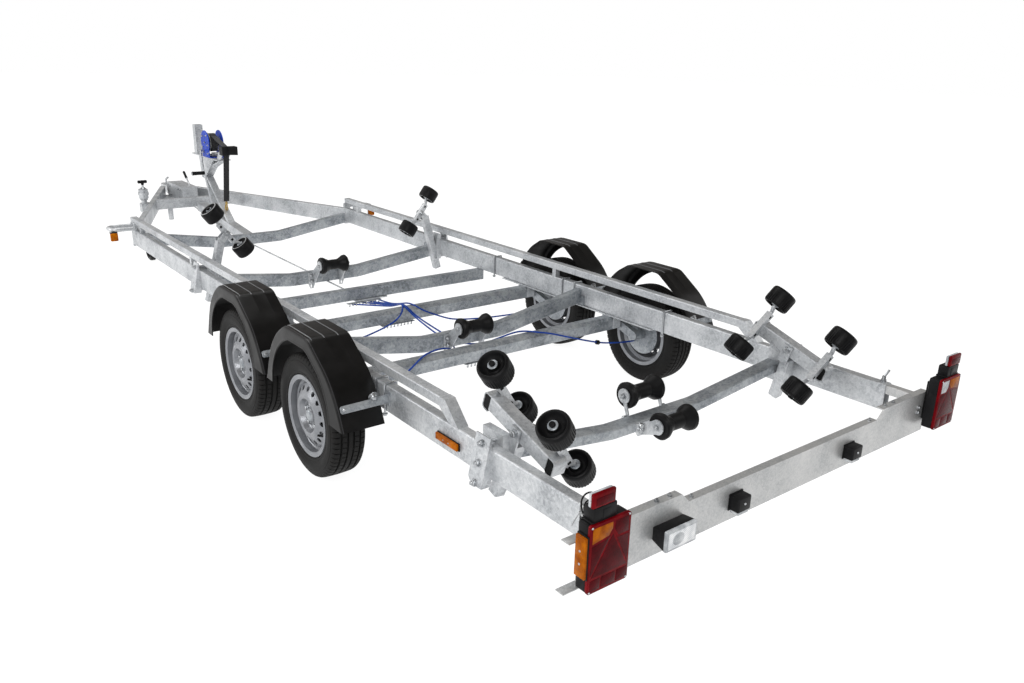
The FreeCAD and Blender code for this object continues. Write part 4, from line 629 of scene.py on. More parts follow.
def guard_line():
    """The arch from the rear foot to the front one, its corners rounded, as
    (point, outward) rows."""
    corners = [Vector((GUARD_SHIFT + u * GUARD_LENGTH,
                       GUARD_LOW + v * (GUARD_HIGH - GUARD_LOW))) for u, v in GUARD_ARCH]
    points = [corners[0]]
    for before, corner, after, reach in zip(corners, corners[1:], corners[2:], GUARD_BENDS[1:]):
        a = corner + (before - corner).normalized() * reach
        b = corner + (after - corner).normalized() * reach
        for k in range(7):
            t = k / 6
            points.append(a * (1 - t) ** 2 + corner * 2 * t * (1 - t) + b * t * t)
    points.append(corners[-1])
    rows = []
    for i, point in enumerate(points):
        along = (points[min(i + 1, len(points) - 1)] - points[max(i - 1, 0)]).normalized()
        rows.append((point, Vector((-along.y, along.x))))
    return rows


def guard_shell(form, side, wheel_y):
    rows = []
    level = []
    for point, out in guard_line():
        rim = OPENING_CENTRE + (point - OPENING_CENTRE).normalized() * OPENING_RADIUS
        if point.y - GUARD_LOW < 1.0:
            span = sqrt(OPENING_RADIUS ** 2 - (GUARD_LOW - OPENING_CENTRE.y) ** 2)
            rim = Vector((OPENING_CENTRE.x + copysign(span, point.x - OPENING_CENTRE.x),
                          GUARD_LOW))
        flat = max(0.0, min(1.0, (point.y - GUARD_HIGH + 16) / 14))
        skirt = (point - rim).normalized()
        deep = (point - rim).length
        k = min(1.0, deep / 60)

        def on_top(x, lift):
            return (x, *(point + out * lift))

        def on_side(x, drop):
            return (x, *(point - skirt * drop))

        x0, x1 = GUARD_INNER_X, GUARD_OUTER_X
        raised = -2.4 * (1 - flat)
        ridge = raised + 1.8 * flat
        section = [on_top(x0, -3.4), on_top(x0 + 3, raised), on_top(x0 + 51, raised),
                   on_top(x0 + 52, ridge), on_top(x0 + 55, ridge), on_top(x0 + 56, raised),
                   on_top(x0 + 118, raised), on_top(x0 + 119, ridge),
                   on_top(x0 + 122, ridge), on_top(x0 + 123, raised),
                   on_top(x1 - 27, raised), on_top(x1 - 24, -2.6), on_top(x1 - 13, -2.8),
                   on_top(x1 - 8, -3.8), on_side(x1 - 4.4, 5.5 * k), on_side(x1 - 2.4, 9.5 * k),
                   on_side(x1 - 1.8, 15 * k), on_side(x1 - 2, deep - 14 * k),
                   on_side(x1 - 1.2, deep - 9 * k), on_side(x1, deep - 5 * k),
                   on_side(x1 - 0.4, deep - 1.5 * k), on_side(x1 - 2.6, deep),
                   on_side(x1 - 6, deep), on_side(x1 - 6.4, 24 * k), on_top(x1 - 16, -9),
                   on_top(x1 - 28, -7.2), on_top(x0 + 60, -6.5), on_top(x0 + 4, -6.5)]
        rows.append([(side * x, wheel_y + y, z) for x, y, z in section])
        level.append(flat)
    part = bmesh.new()
    for n, face in enumerate(skin(part, rows)):
        i, j = divmod(n, len(section))
        # Painted highlights: pale on the ridge rows of the flat top, dark grey on the rolled
        # edge's row
        ridge_highlight_face = j in HIGHLIGHT_RIDGE_ROWS and level[i] + level[i + 1] > 1.2
        face.material_index = 1 if ridge_highlight_face else 2 if j == HIGHLIGHT_EDGE_ROW else 0
    join(form, part, finish=None)


for label, side in SIDES:
    form = bmesh.new()
    for wheel_y in (0.0, AXLE_SPACING):
        guard_shell(form, side, wheel_y)
    settle(form, "guard_shells_" + label, "chassis", [GUARD_PLASTIC, GUARD_RIDGE_HIGHLIGHT, GUARD_EDGE_HIGHLIGHT],
           24, ["mudguards_" + label])

# Side rollers: rubber drums with a deep cup round the hub and ribs by one edge
SIDE_TILT = 53.0
SIDE_SPACING = 306.0
SIDE_RADIUS = 65.0
SIDE_HALF = 43.0
SIDE_AXIS_OFFSET = 66.0
BEAM_SLOPE = 18.0
PAIR_REACH = 184.0
FRONT_PIVOT = (786.0, 2094.0, 716.0)
REAR_PIVOT = (832.0, -1177.0, 583.0)
ROLLER_RIBS = 32
RIB_DEPTH = 4.0


def pair_place(pivot, slope, side):
    return flipped(side) @ moved(*pivot) @ tilted(slope, "X") @ tilted(-SIDE_TILT, "Y")


def roller_drum(form, place, ribbed):
    """Cupped rubber drum; the ribs stand round the end that faces the hull."""
    r = SIDE_RADIUS
    w = SIDE_HALF
    half = [(w - 8, 10.5), (w - 8, 19), (w - 9, 21), (w - 22, 23), (w - 25, 27), (w - 25, 34),
            (w - 20, 42), (w - 11, 48), (w - 3.5, 51), (w - 0.6, 53), (w, 55), (w - 1, 58.5),
            (w - 4.5, 62), (w - 10, r - 0.8), (w - 16, r)]
    shell = [(-x, radius) for x, radius in half] + half[::-1]
    if not ribbed:
        spin(form, shell, place, 72)
        return
    rows = []
    for i in range(ROLLER_RIBS):
        for share, sunk in ((0.0, 0), (0.06, 1), (0.46, 1), (0.52, 0)):
            a = 2 * pi * (i + share) / ROLLER_RIBS
            cut = [r - RIB_DEPTH if sunk and r > 61 and x < 22 else r for x, r in shell]
            rows.append([(x, r * cos(a), r * sin(a)) for (x, full), r in zip(shell, cut)])
    closed_ring(form, rows, place)


def make_side_rollers(name, body, place, ribbed):
    form = bmesh.new()
    for s in (-1, 1):
        centre = place @ moved(s * SIDE_SPACING / 2, 0, SIDE_AXIS_OFFSET)
        roller_drum(form, centre, ribbed)
        for e in () if ribbed else (-1, 1):
            spin(form, [(e * 43.2, 51.5), (e * 43.2, 56), (e * 41, 59), (e * 40.4, 58.5),
                        (e * 40.4, 51.5)], centre, 72, 1)
    settle(form, name + "_drums", body, [ROLLER_RUBBER, GREY_NYLON], 30, [name])


def make_spindle_washers(name, body, place):
    """Washers and spindle ends on the drums, and the dark plugs in their rocker."""
    form = bmesh.new()
    for s in (-1, 1):
        for e in (-1, 1):
            hub = (place @ moved(s * SIDE_SPACING / 2, 0, SIDE_AXIS_OFFSET)
                   @ flipped(e) @ moved(SIDE_HALF, 0, 0))
            spin(form, [(-7.8, 10.2), (-7.8, 20), (-5.5, 20), (-4.5, 18.5), (-4.5, 10.2)], hub,
                 36)
            if e == s:
                spin(form, [(-4.5, 10.1), (-4.5, 11.5), (5, 11.5), (6.4, 10), (6.4, 0),
                            (6.1, 0), (6.1, 10.1)], hub, 24, 1)
        x0, x1 = sorted((s * 48, s * 64))
        blocks(form, place, (x0, -15.8, 38, x1, 15.8, 54, 1.5, 1))
    settle(form, name, body, [AXLE_STEEL, BLACK_PLASTIC])


for label, side in SIDES:
    sets = [("front_" + label, "front_pair_" + label, FRONT_PIVOT, 0.0, "front_rocker_")]
    for key, s in (("a", 1), ("b", -1)):
        slope = radians(BEAM_SLOPE)
        x, y, z = REAR_PIVOT
        sets.append(("rear_%s_%s" % (key, label), "rear_pair_%s_%s" % (key, label),
                     (x, y + s * PAIR_REACH * cos(slope), z + s * PAIR_REACH * sin(slope)),
                     BEAM_SLOPE, "rear_beam_"))
    for key, body, pivot, slope, carrier in sets:
        place = pair_place(pivot, slope, side)
        make_side_rollers("side_rollers_" + key, body, place, slope > 0)
        make_spindle_washers("spindle_washers_" + key, carrier + label, place)

# Rounded steel bands with black rubber inside that close the rocking beams' ends
BEAM_END = 180.0
BEAM_HALF_HEIGHT = 33.0
BAND_REACH = 42.0
BAND_DROP = 10.0
BAND_RADIUS = 18.0
BAND_SHEET = 5.0
SIDEWAYS = Matrix(((0, 0, 1, 0), (1, 0, 0, 0), (0, 1, 0, 0), (0, 0, 0, 1)))


def band_line(inset):
    """Line of the rounded band over a beam's end, (along the beam, up), top first."""
    r = BAND_RADIUS - inset
    reach = BEAM_END + BAND_REACH - BAND_RADIUS
    high = BEAM_HALF_HEIGHT - BAND_RADIUS + 1
    low = BAND_RADIUS - BEAM_HALF_HEIGHT - BAND_DROP
    return ([(BEAM_END - 4, high + r)] + arc(reach, high, r, 90, -18, 6)
            + arc(reach, low, r, 0, -18, 6) + [(BEAM_END + 5, low - r)])


def make_beam_ends(label, side):
    form = bmesh.new()
    inner = band_line(BAND_SHEET)
    core = inner + [(BEAM_END - 4, 2 - BEAM_HALF_HEIGHT)]
    for e in (-1, 1):
        place = (flipped(side) @ moved(*REAR_PIVOT) @ tilted(BEAM_SLOPE, "X")
                 @ Matrix.Diagonal((1, e, 1, 1)))
        slab(form, band_line(0) + inner[::-1], 60, place @ moved(-30, 0, 0) @ SIDEWAYS)
        slab(form, core, 54, place @ moved(-27, 0, 0) @ SIDEWAYS, 0, 1)
    settle(form, "rear_beam_ends_" + label, "rear_beam_" + label, [FRAME_STEEL, ROLLER_RUBBER])


for label, side in SIDES:
    make_beam_ends(label, side)

# Road lamps: black housings behind moulded lenses, in the right-hand lamp's sizes
# Left, right, low and high side of the lens
LAMP = (950.0, 1118.0, 373.0, 608.0)
LAMP_BACK_Y = -1796.0
LENS_BACK_Y = -1842.0
LENS_FACE_Y = -1854.4
LENS_CORNER = 9.0
HOUSING, RED, CELL, AMBER, CLEAR, SCREW = range(6)
LAMP_FINISHES = [LAMP_HOUSING, RED_LENS, CELL_LENS, AMBER_LENS, CLEAR_LENS, ZINC_STEEL]
BACKWARDS = (0, -1, 0)
# Local XY on the drawing's X and Z, local Z backwards
TO_REAR = Matrix(((1, 0, 0, 0), (0, 0, -1, 0), (0, 1, 0, 0), (0, 0, 0, 1)))
# Cells of the lens: u from the outer edge inwards, v from the top down
AMBER_CELL = ((0.06, 0.045), (0.54, 0.045), (0.54, 0.14), (0.45, 0.225), (0.06, 0.265))
INNER_CELL = ((0.60, 0.045), (0.94, 0.045), (0.94, 0.27), (0.69, 0.27), (0.60, 0.17))
RED_CELLS = (((0.05, 0.30), (0.42, 0.27), (0.495, 0.235), (0.05, 0.725)),
             ((0.62, 0.245), (0.67, 0.305), (0.95, 0.305), (0.95, 0.715)),
             ((0.558, 0.225), (0.075, 0.762), (0.942, 0.762)),
             ((0.05, 0.80), (0.29, 0.80), (0.29, 0.96), (0.05, 0.96)),
             ((0.32, 0.80), (0.67, 0.80), (0.67, 0.96), (0.32, 0.96)),
             ((0.70, 0.80), (0.95, 0.80), (0.95, 0.96), (0.70, 0.96)))


def lens_spot(u, v):
    x0, x1, z0, z1 = LAMP
    return (x1 - u * (x1 - x0), z1 - v * (z1 - z0))


def make_tail_lamp(label, side):
    form = bmesh.new()
    x0, x1, z0, z1 = LAMP
    turn = flipped(side)
    back, front = LAMP_BACK_Y, LENS_BACK_Y
    blocks(form, turn,
           (972, back, 400, 1088, -1780.2, 580, 4, HOUSING),
           (x0 + 1.5, front, z0 + 1.5, x1 - 1.5, back, z1 - 1.5, 7, HOUSING, 3),
           (x0 + 14, front - 1, z0 + 30, x0 - 0.2, back - 12, z1 - 70, 3, HOUSING),
           (1117, -1852, 424, 1122, -1801, 573, 2, HOUSING),
           (1120, -1850, 428, 1131, -1803, 569, 4, AMBER, 3),
           (1130, -1842, 452, 1131.8, -1812, 500, 0.8, AMBER),
           (1130, -1842, 510, 1131.8, -1812, 556, 0.8, AMBER),
           (1005, -1846, 606, 1100, -1800, 657, 5, HOUSING),
           (1030, -1847.4, 616, 1064, -1845, 646, 1.5, HOUSING),
           (1000, -1846, 606, 1106, -1798, 613, 2.5, HOUSING),
           (1012, -1846, 655, 1106, -1832, 705, 6, RED, 3),
           (1013, -1833, 656, 1105, -1821, 703, 5, CLEAR, 3),
           (1024, -1847, 664, 1094, -1845.4, 690, 0.7, CELL))
    outline = []
    r = LENS_CORNER
    for cx, cz, start in ((x1 - r, z1 - r, 0), (x0 + r, z1 - r, 90), (x0 + r, z0 + r, 180),
                          (x1 - r, z0 + r, 270)):
        outline += arc(cx, cz, r, start, 22.5)
    slab(form, outline, front - LENS_FACE_Y, turn @ moved(0, front, 0) @ TO_REAR, 2.6, RED, 3)
    face = turn @ moved(0, LENS_FACE_Y + 0.4, 0) @ TO_REAR
    for cell, finish in ((AMBER_CELL, AMBER), (INNER_CELL, CLEAR if side > 0 else CELL),
                         *((cell, CELL) for cell in RED_CELLS)):
        slab(form, [lens_spot(*c) for c in cell], 1.2, face, 0.5, finish)
    for u, v in ((0.045, 0.03), (0.955, 0.03), (0.045, 0.97), (0.955, 0.97)):
        x, z = lens_spot(u, v)
        spin(form, [(0, 0), (0, 4), (1.2, 3.4), (1.6, 1.5), (1.0, 0)],
             turn @ aimed((x, LENS_FACE_Y, z), BACKWARDS), 14, SCREW)
    for z in (476, 520):
        spin(form, [(0, 0), (0, 4.2), (1.4, 3.4), (1.4, 0)],
             turn @ aimed((1131.4, -1827, z), (1, 0, 0)), 14, SCREW)
    settle(form, "road_lamp_" + label, "light_board", LAMP_FINISHES, 38, ["tail_lamps"])


for label, side in SIDES:
    make_tail_lamp(label, side)


def make_lamp_leads():
    """Short leads behind the left lamp, gathered by a cable tie; fixed at both ends."""
    form = bmesh.new()
    wire(form, [(-1024, -1810, 634), (-1032, -1792, 662), (-1056, -1768, 668),
                (-1078, -1762, 644), (-1076, -1770, 602), (-1070, -1788, 578),
                (-1066, -1798, 570)], 2.8)
    wire(form, [(-1036, -1808, 622), (-1044, -1794, 642), (-1062, -1776, 646),
                (-1074, -1772, 626), (-1072, -1778, 596), (-1066, -1790, 574),
                (-1058, -1798, 566)], 2.6)
    wire(form, [(-1068, -1768, 604), (-1084, -1762, 607), (-1086, -1772, 603),
                (-1070, -1780, 599)], 1.4, 1, True)
    wire(form, [(-1082, -1766, 603), (-1098, -1766, 590), (-1116, -1770, 572)], 1.3, 1)
    settle(form, "lamp_leads", "light_board", [BLACK_PLASTIC, GREY_NYLON])


make_lamp_leads()

# Reverse lamp, number plate lamps and amber markers
REVERSE_BACK = (-763.0, -616.0, 401.0, 450.0)
REVERSE_FACE = (-760.0, -613.0, 378.0, 455.0)
REVERSE_DEPTH = 62.0
BOARD_Y = -1780.0
PLATE_LAMPS = ((-370.0, -300.0, 372.0, 442.0), (355.0, 425.0, 368.0, 436.0))
PLATE_LAMP_DEPTH = 45.0


def make_board_lamps():
    form = bmesh.new()
    y = BOARD_Y - REVERSE_DEPTH
    x0, x1, z0, z1 = REVERSE_FACE
    ends = ((REVERSE_BACK, BOARD_Y), ((x0 + 1, x1 - 1, z0 + 1, z1 - 1), y + 14))
    solid(form, [((a, at_y, c), (b, at_y, c), (b, at_y, d), (a, at_y, d))
                 for (a, b, c, d), at_y in ends], Matrix(), 3)
    blocks(form, Matrix(), (x0, y, z0, x1, y + 15, z1, 4, 1, 3),
           (x0 + 9, y - 1.2, z0 + 9, x1 - 9, y + 1, z1 - 9, 1, 2))
    bowl = [(0, 0), (0, 28), (0.8, 29), (1.6, 24), (1.9, 12), (2.0, 0)]
    spin(form, bowl, Matrix.Diagonal((1, 1, 0.8, 1))
         @ aimed((0.5 * (x0 + x1) - 18, y - 0.2, 0.625 * (z0 + z1)), BACKWARDS), 32, 1)
    y = BOARD_Y - PLATE_LAMP_DEPTH
    for x0, x1, z0, z1 in PLATE_LAMPS:
        blocks(form, Matrix(), (x0, y, z0 + 12, x1, BOARD_Y, z1, 6, 0, 3),
               (x0 + 6, y + 4, z0, x1 - 6, BOARD_Y - 4, z0 + 14, 3, 1),
               (x0 - 3, BOARD_Y - 5, z0 + 8, x1 + 3, BOARD_Y, z1 + 3, 2, 0))
        spin(form, [(0, 0), (0, 5), (2.5, 4), (3, 0)],
             aimed(((x0 + x1) / 2, y, (z0 + z1) / 2 + 8), BACKWARDS), 16, 3)
    settle(form, "board_lamp_set", "light_board",
           [LAMP_HOUSING, CLEAR_LENS, MIRROR_LENS, ZINC_STEEL], 38, ["board_lamps"])


make_board_lamps()

RAIL_INNER_X = 906.0
RAIL_OUTER_X = 956.0
RAIL_TOP = 527.0
RAIL_LOW = 402.0
# Lamp on the rail's side, y, y, z, z, and on the drawbar's loop, x, x, y, y, z, z
RAIL_LAMP = (-945.0, -789.0, 437.0, 471.0)
LOOP_LAMP = (1088.0, 1142.0, 3534.0, 3586.0, 463.0, 529.0)


def make_marker_lamps():
    form = bmesh.new()
    y0, y1, z0, z1 = RAIL_LAMP
    lx0, lx1, ly0, ly1, lz0, lz1 = LOOP_LAMP
    half = (ly0 + ly1) / 2
    x = RAIL_OUTER_X
    prisms = [y0 + share * (y1 - y0) for share in (0.25, 0.5, 0.75)]
    for side in (-1, 1):
        turn = flipped(side)
        blocks(form, turn, (x, y0, z0, x + 5, y1, z1, 2, 1),
               (x + 4, y0 + 2, z0 + 2, x + 16, y1 - 2, z1 - 2, 4, 0, 3),
               *((x + 15, y - 15, z0 + 8, x + 16.8, y + 15, z1 - 8, 0.8, 0) for y in prisms),
               (lx0, ly0 + 8, lz1 - 6, lx1, ly1 - 8, lz1, 2, 1),
               (lx0 + 6, half, lz0 + 4, lx1 - 6, ly1 - 4, lz1 - 4, 4, 1),
               (lx0, ly0, lz0, lx1, half + 2, lz1 - 5, 7, 0, 3))
        for share in (0.38, 0.62):
            spin(form, [(0, 0), (0, 3.6), (1.5, 3), (1.6, 0)],
                 turn @ aimed((x + 15.8, y0 + share * (y1 - y0), (z0 + z1) / 2), (1, 0, 0)),
                 12, 2)
    settle(form, "marker_lamp_set", "chassis", [AMBER_LENS, LAMP_HOUSING, ZINC_STEEL], 38,
           ["marker_lamps"])


make_marker_lamps()


def make_board_tabs():
    """End tabs of the light board's brackets, behind the road lamps."""
    form = bmesh.new()
    for side in (-1, 1):
        blocks(form, flipped(side), (1080, -1795.5, 527, 1146, -1758, 531, 1.2),
               (1080, -1795.5, 357, 1160, -1758, 361, 1.2),
               (1080, -1784.2, 357, 1100, -1780.2, 531, 1.2))
    settle(form, "light_board_tabs", "light_board", [SHEET_STEEL])


make_board_tabs()

# Fasteners over the frame
CLAMP_FACE_X = 962.0
CLAMP_TOP_Z = 571.0
CLAMP_SLOPE = tan(radians(12.0))
KEEL_PLATE_X = 109.0
# Keel brackets: roller axis (y, z), crossmember's y, top, height and half width
KEEL_SETS = (((2075.0, 440.0), 2230.0, 372.0, 88.0, 25.0),
             ((316.0, 444.0), 440.0, 394.0, 88.0, 25.0),
             ((-983.0, 486.0), -1060.0, 408.0, 46.0, 39.0),
             ((-1190.0, 412.0), -1060.0, 408.0, 46.0, 39.0))
DRUM_YZ = (4430.0, 1088.0)
CRANK_YZ = (4470.0, 1014.0)
PLATE_FACE_X = 66.0
PLATE_BOLTS = ((0, 0), (-62, -92), (62, -92), (-48, 62), (54, 52), (-74, -20), (70, -44))


def both_sides(spots):
    """The same spots on the right and, mirrored, on the left."""
    return [((s * p[0], p[1], p[2]), (s * a[0], a[1], a[2])) for p, a in spots
            for s in (1, -1)]


def clamp_spots():
    """Four bolts through each clamp, and a middle one without an inner nut behind."""
    spots = []
    for y, z in ((-1106, 541), (-1106, 388), (2094, 541), (2094, 388), (-1106, 465)):
        x = CLAMP_FACE_X + (CLAMP_TOP_Z - z) * CLAMP_SLOPE
        spots.append(((x, y, z), (1, 0, CLAMP_SLOPE)))
        if z != 465:
            spots.append(((RAIL_INNER_X - 34, y, z), (-1, 0, 0)))
    return both_sides(spots)


def keel_spots():
    spots = []
    for (y, z), member_y, top, height, half in KEEL_SETS:
        way = -1 if y < member_y else 1
        spots.append(((KEEL_PLATE_X, y, z), (1, 0, 0)))
        for drop in (0.3, 0.75):
            spots.append(((KEEL_PLATE_X + 12, member_y + way * (half + 6),
                           top - height * drop), (0, way, 0)))
    return both_sides(spots)


# Flat stays behind and before each mudguard, along the arch's face
STAY_LOW = 455.0
STAY_HIGH = 489.0
STAY_SHEET = 6.0
STAY_FOOT_X = 956.2
STAY_TIP_X = 1180.0
STAY_CORNER = 10.0
# Wheel's y, end of the mudguard, and the stay's y at its low and high edge from there
STAY_ENDS = [(wheel_y, end, y_low, y_high) for wheel_y in (0.0, AXLE_SPACING)
             for end, y_low, y_high in ((-1, -403.9, -388.4), (1, 341.6, 328.7))]


def make_stays():
    form = bmesh.new()
    high = STAY_HIGH - STAY_LOW
    r = STAY_CORNER
    outline = [(STAY_FOOT_X, 0), *arc(STAY_TIP_X, r, r, -90, 22.5),
               *arc(STAY_TIP_X, high - r, r, 0, 22.5), (1010, high), (985, high + 5),
               (STAY_FOOT_X, high + 5)]
    for side in (-1, 1):
        for wheel_y, end, y_low, y_high in STAY_ENDS:
            lean = Vector((0, y_high - y_low, high)).normalized()
            place = Matrix.Identity(4)
            place.col[1] = (*lean, 0)
            place.col[2] = (*(Vector((1, 0, 0)).cross(lean) * -end), 0)
            place.col[3] = (0, wheel_y + y_low, STAY_LOW, 1)
            slab(form, outline, STAY_SHEET, flipped(side) @ place, 1.0)
            foot_y = wheel_y + y_low + end * STAY_SHEET
            y0, y1 = sorted((foot_y, foot_y - end * 50))
            blocks(form, flipped(side), (STAY_FOOT_X, y0, STAY_LOW - 14, 962, y1,
                                         STAY_HIGH + 16, 1.5))
    settle(form, "guard_stays", "chassis", [AXLE_STEEL], 30, ["mudguard_stays"])


make_stays()


def stay_spots(x, rise):
    """Spots on the stays' outer faces, x from the middle, rise above their lower edge."""
    spots = []
    for wheel_y, end, y_low, y_high in STAY_ENDS:
        y = y_low + (y_high - y_low) * rise / (STAY_HIGH - STAY_LOW)
        spots.append(((x, wheel_y + y + end * STAY_SHEET * 1.08, STAY_LOW + rise),
                      (0, end, -0.43)))
    return both_sides(spots)


pivot_spots = both_sides([((832 + s * 39.5, -1177, 583), (s, 0, 0)) for s in (-1, 1)]
                         + [((749.3, 2094 + s * 25, 743.7), (0, s, 0)) for s in (-1, 1)])
plate_spots = both_sides([((PLATE_FACE_X, DRUM_YZ[0] + dy, DRUM_YZ[1] + dz), (1, 0, 0))
                          for dy, dz in PLATE_BOLTS])
board_spots = [((x, BOARD_Y + 18, z), (0, 0, 1))
               for x, z in ((-672, 527), (-735, 527), (672, 527), (735, 527),
                            (-560, 488), (560, 488))]
board_spots += [((x, BOARD_Y, z), BACKWARDS) for x in (936, -936) for z in (462, 438)]
housing_spots = both_sides([((74, y, z), (1, 0, 0)) for y in (5250, 5330, 5600, 5650)
                            for z in (470, 552)])
arm_spots = both_sides([((902, 3706, z), (0, 1, 0)) for z in (440, 500)])

set_items("clamp_bolts", "chassis", bolt_head(22.0, 7.0), clamp_spots())
set_items("keel_bolts", "chassis", bolt_head(20.0, 6.0), keel_spots())
set_items("pivot_nuts", "chassis", bolt_head(26.0, 5.0), pivot_spots)
set_items("winch_bolts", "chassis", bolt_head(13.0, 3.0), plate_spots)
set_items("stay_screws", "chassis", screw_head(11.0), stay_spots(1173.0, 17.0))
set_items("stay_dome_nuts", "chassis", dome_nut(23.0), stay_spots(1030.0, 44.0))
set_items("board_bolts", "light_board", bolt_head(13.0, 3.0), board_spots)
set_items("drawbar_bolts", "chassis", bolt_head(19.0, 5.0), housing_spots + arm_spots)

# U-bolts round the rails, clamp lever of the light board, combs for the cables
# Side and y of each
U_BOLTS = ((1, 1340), (1, 600), (1, 483), (1, -286), (-1, -290), (-1, -370), (-1, 600),
           (-1, 1340))
U_BOLT_RADIUS = 5.0


def make_u_bolts():
    form = bmesh.new()
    top = RAIL_TOP + 5.5
    half = ((0, RAIL_LOW - 12), (0, 450), (0, top - 14), (0, top - 2), (3, top), (14, top))
    for side, y in U_BOLTS:
        inner, outer = side * (RAIL_INNER_X - 5.5), side * (RAIL_OUTER_X + 5.5)
        wire(form, [(inner + side * dx, y, z) for dx, z in half]
             + [(outer - side * dx, y, z) for dx, z in half[::-1]], U_BOLT_RADIUS)
        for x in (inner, outer):
            join(form, bolt_head(17.0), aimed((x, y, RAIL_LOW - 8), (0, 0, -1)))
    settle(form, "u_bolts", "chassis", [ZINC_STEEL])


make_u_bolts()


def make_clamp_lever():
    """Bent clamp screw that locks the light board's right bar in the rail."""
    form = bmesh.new()
    x, z = RAIL_OUTER_X - 14, RAIL_TOP
    up = aimed((x, -1600, z), (0, 0, 1))
    spin(form, [(-2, 0), (-2, 13), (8, 13), (10, 11), (10, 0)], up, 28)
    spin(form, [(8, 0), (8, 9), (24, 9), (26, 7), (26, 0)], up, 20)
    wire(form, [(x, -1600, z + 18), (x + 3, -1603, z + 30), (x + 7, -1610, z + 44),
                (x + 9, -1614, z + 56)], 5.5)
    settle(form, "clamp_levers", "chassis", [ZINC_STEEL])


make_clamp_lever()

# Middle x, y, low z and length
COMBS = ((-75.0, 1478.0, 318.0, 250.0), (-130.0, 945.0, 316.0, 230.0),
         (-140.0, 118.0, 314.0, 120.0))
COMB_PITCH = 24


def make_cable_combs():
    """Steel strips with hooked teeth that hold the brake cables under the axles."""
    form = bmesh.new()
    for x, y, z, length in COMBS:
        x0 = x - length / 2
        blocks(form, Matrix(), (x0, y - 14, z, x + length / 2, y + 14, z + 3, 1))
        for i in range(int(length / COMB_PITCH)):
            tx = x0 + 12 + i * COMB_PITCH
            blocks(form, Matrix(), (tx - 3, y - 16, z - 14, tx + 3, y - 13, z + 2, 0.8),
                   (tx - 3, y - 16, z - 15, tx + 3, y - 4, z - 12, 0.8))
    settle(form, "cable_combs", "chassis", [AXLE_STEEL])


make_cable_combs()

# Brake cables: each runs back from the equaliser and over the front axle's tube
CABLE_RADIUS = 5.0
FRONT_LEFT = [(-150, 1511, 303), (-90, 1430, 308), (-40, 1330, 320), (-20, 1220, 340),
              (-25, 1120, 375), (-45, 1040, 403), (-75, 970, 404), (-115, 935, 362),
              (-190, 925, 325), (-290, 918, 300), (-400, 912, 278), (-700, 904, 250),
              (-1000, 900, 236), (-1040, 900, 236)]
FRONT_RIGHT = [(50, 1511, 305), (25, 1380, 325), (10, 1250, 345), (0, 1120, 380),
               (0, 1045, 403), (10, 980, 404), (45, 942, 374), (170, 932, 315),
               (285, 924, 272), (600, 905, 245), (1000, 900, 236), (1040, 900, 236)]
REAR_RIGHT = [(-75, 1511, 303), (-40, 1430, 312), (-15, 1330, 325), (-10, 1220, 348),
              (-30, 1110, 382), (-50, 1040, 404), (-60, 965, 404), (-30, 910, 350),
              (-30, 750, 322), (-40, 640, 314), (-10, 530, 296), (60, 420, 292),
              (130, 350, 315), (175, 300, 348), (225, 232, 390), (260, 180, 406),
              (310, 115, 406), (370, 92, 396), (440, 88, 373), (560, 82, 332),
              (690, 78, 290), (790, 75, 262), (890, 68, 247), (1000, 60, 236),
              (1040, 60, 236)]
REAR_LEFT = [(-20, 1511, 303), (0, 1430, 312), (10, 1330, 328), (5, 1220, 350),
             (-20, 1110, 384), (-40, 1040, 404), (-50, 965, 404), (-15, 910, 350),
             (0, 750, 322), (0, 640, 314), (-10, 530, 296), (-60, 420, 290),
             (-150, 300, 330), (-240, 215, 388), (-320, 192, 404), (-380, 170, 407),
             (-430, 148, 407), (-480, 118, 403), (-520, 100, 388), (-570, 86, 364),
             (-645, 75, 331), (-800, 66, 275), (-1000, 60, 236), (-1040, 60, 236)]


def make_brake_cables():
    """Sheathed cables to the four brake plates, and the clip by the right rear wheel."""
    form = bmesh.new()
    for route in (FRONT_LEFT, FRONT_RIGHT, REAR_RIGHT, REAR_LEFT):
        wire(form, route, CABLE_RADIUS)
    spin(form, [(-12, 5.2), (-12, 12), (-8, 14), (-4, 12), (0, 14), (4, 12), (8, 14), (12, 12),
                (12, 5.2)], aimed((742, 77, 275), (1, 0, -0.3)), 24, 1)
    settle(form, "sheathed_brake_cables", "chassis", [CABLE_BLUE, BLACK_PLASTIC], 60,
           ["brake_cables"])


make_brake_cables()

# Grips of winch, handbrake and jockey wheel
CRANK_GRIP = [(0, 0), (0, 15.5), (4, 17.5), (20, 16.2), (60, 16), (98, 17), (104, 18.5),
              (109, 16), (111, 10), (111, 0)]
CRANK_GRIP_PLACE = (-96.0, 4430.0, 819.0)
LEVER_GRIP = [(0, 0), (0, 9), (3, 12), (20, 12.5), (50, 11.5), (84, 12.5), (92, 10), (95, 0)]
LEVER_TIP = Vector((30, 5455, 702))
T_BAR = [(-40, 0), (-40, 9), (-37, 13), (-30, 14.5), (-14, 13.2), (0, 14.6), (14, 13.2),
         (30, 14.5), (37, 13), (40, 9), (40, 0)]
JOCKEY = (-546.0, 4800.0)


def make_grips():
    form = bmesh.new()
    spin(form, CRANK_GRIP, aimed(CRANK_GRIP_PLACE, (-1, 0, 0)), 32)
    settle(form, "crank_grip", "winch_crank", [BLACK_PLASTIC], 40)
    form = bmesh.new()
    lever = Vector((0, 130, 100)).normalized()
    spin(form, LEVER_GRIP, aimed(LEVER_TIP - lever * 92, lever), 28)
    settle(form, "handbrake_grip", "chassis", [BLACK_PLASTIC], 40)


make_grips()


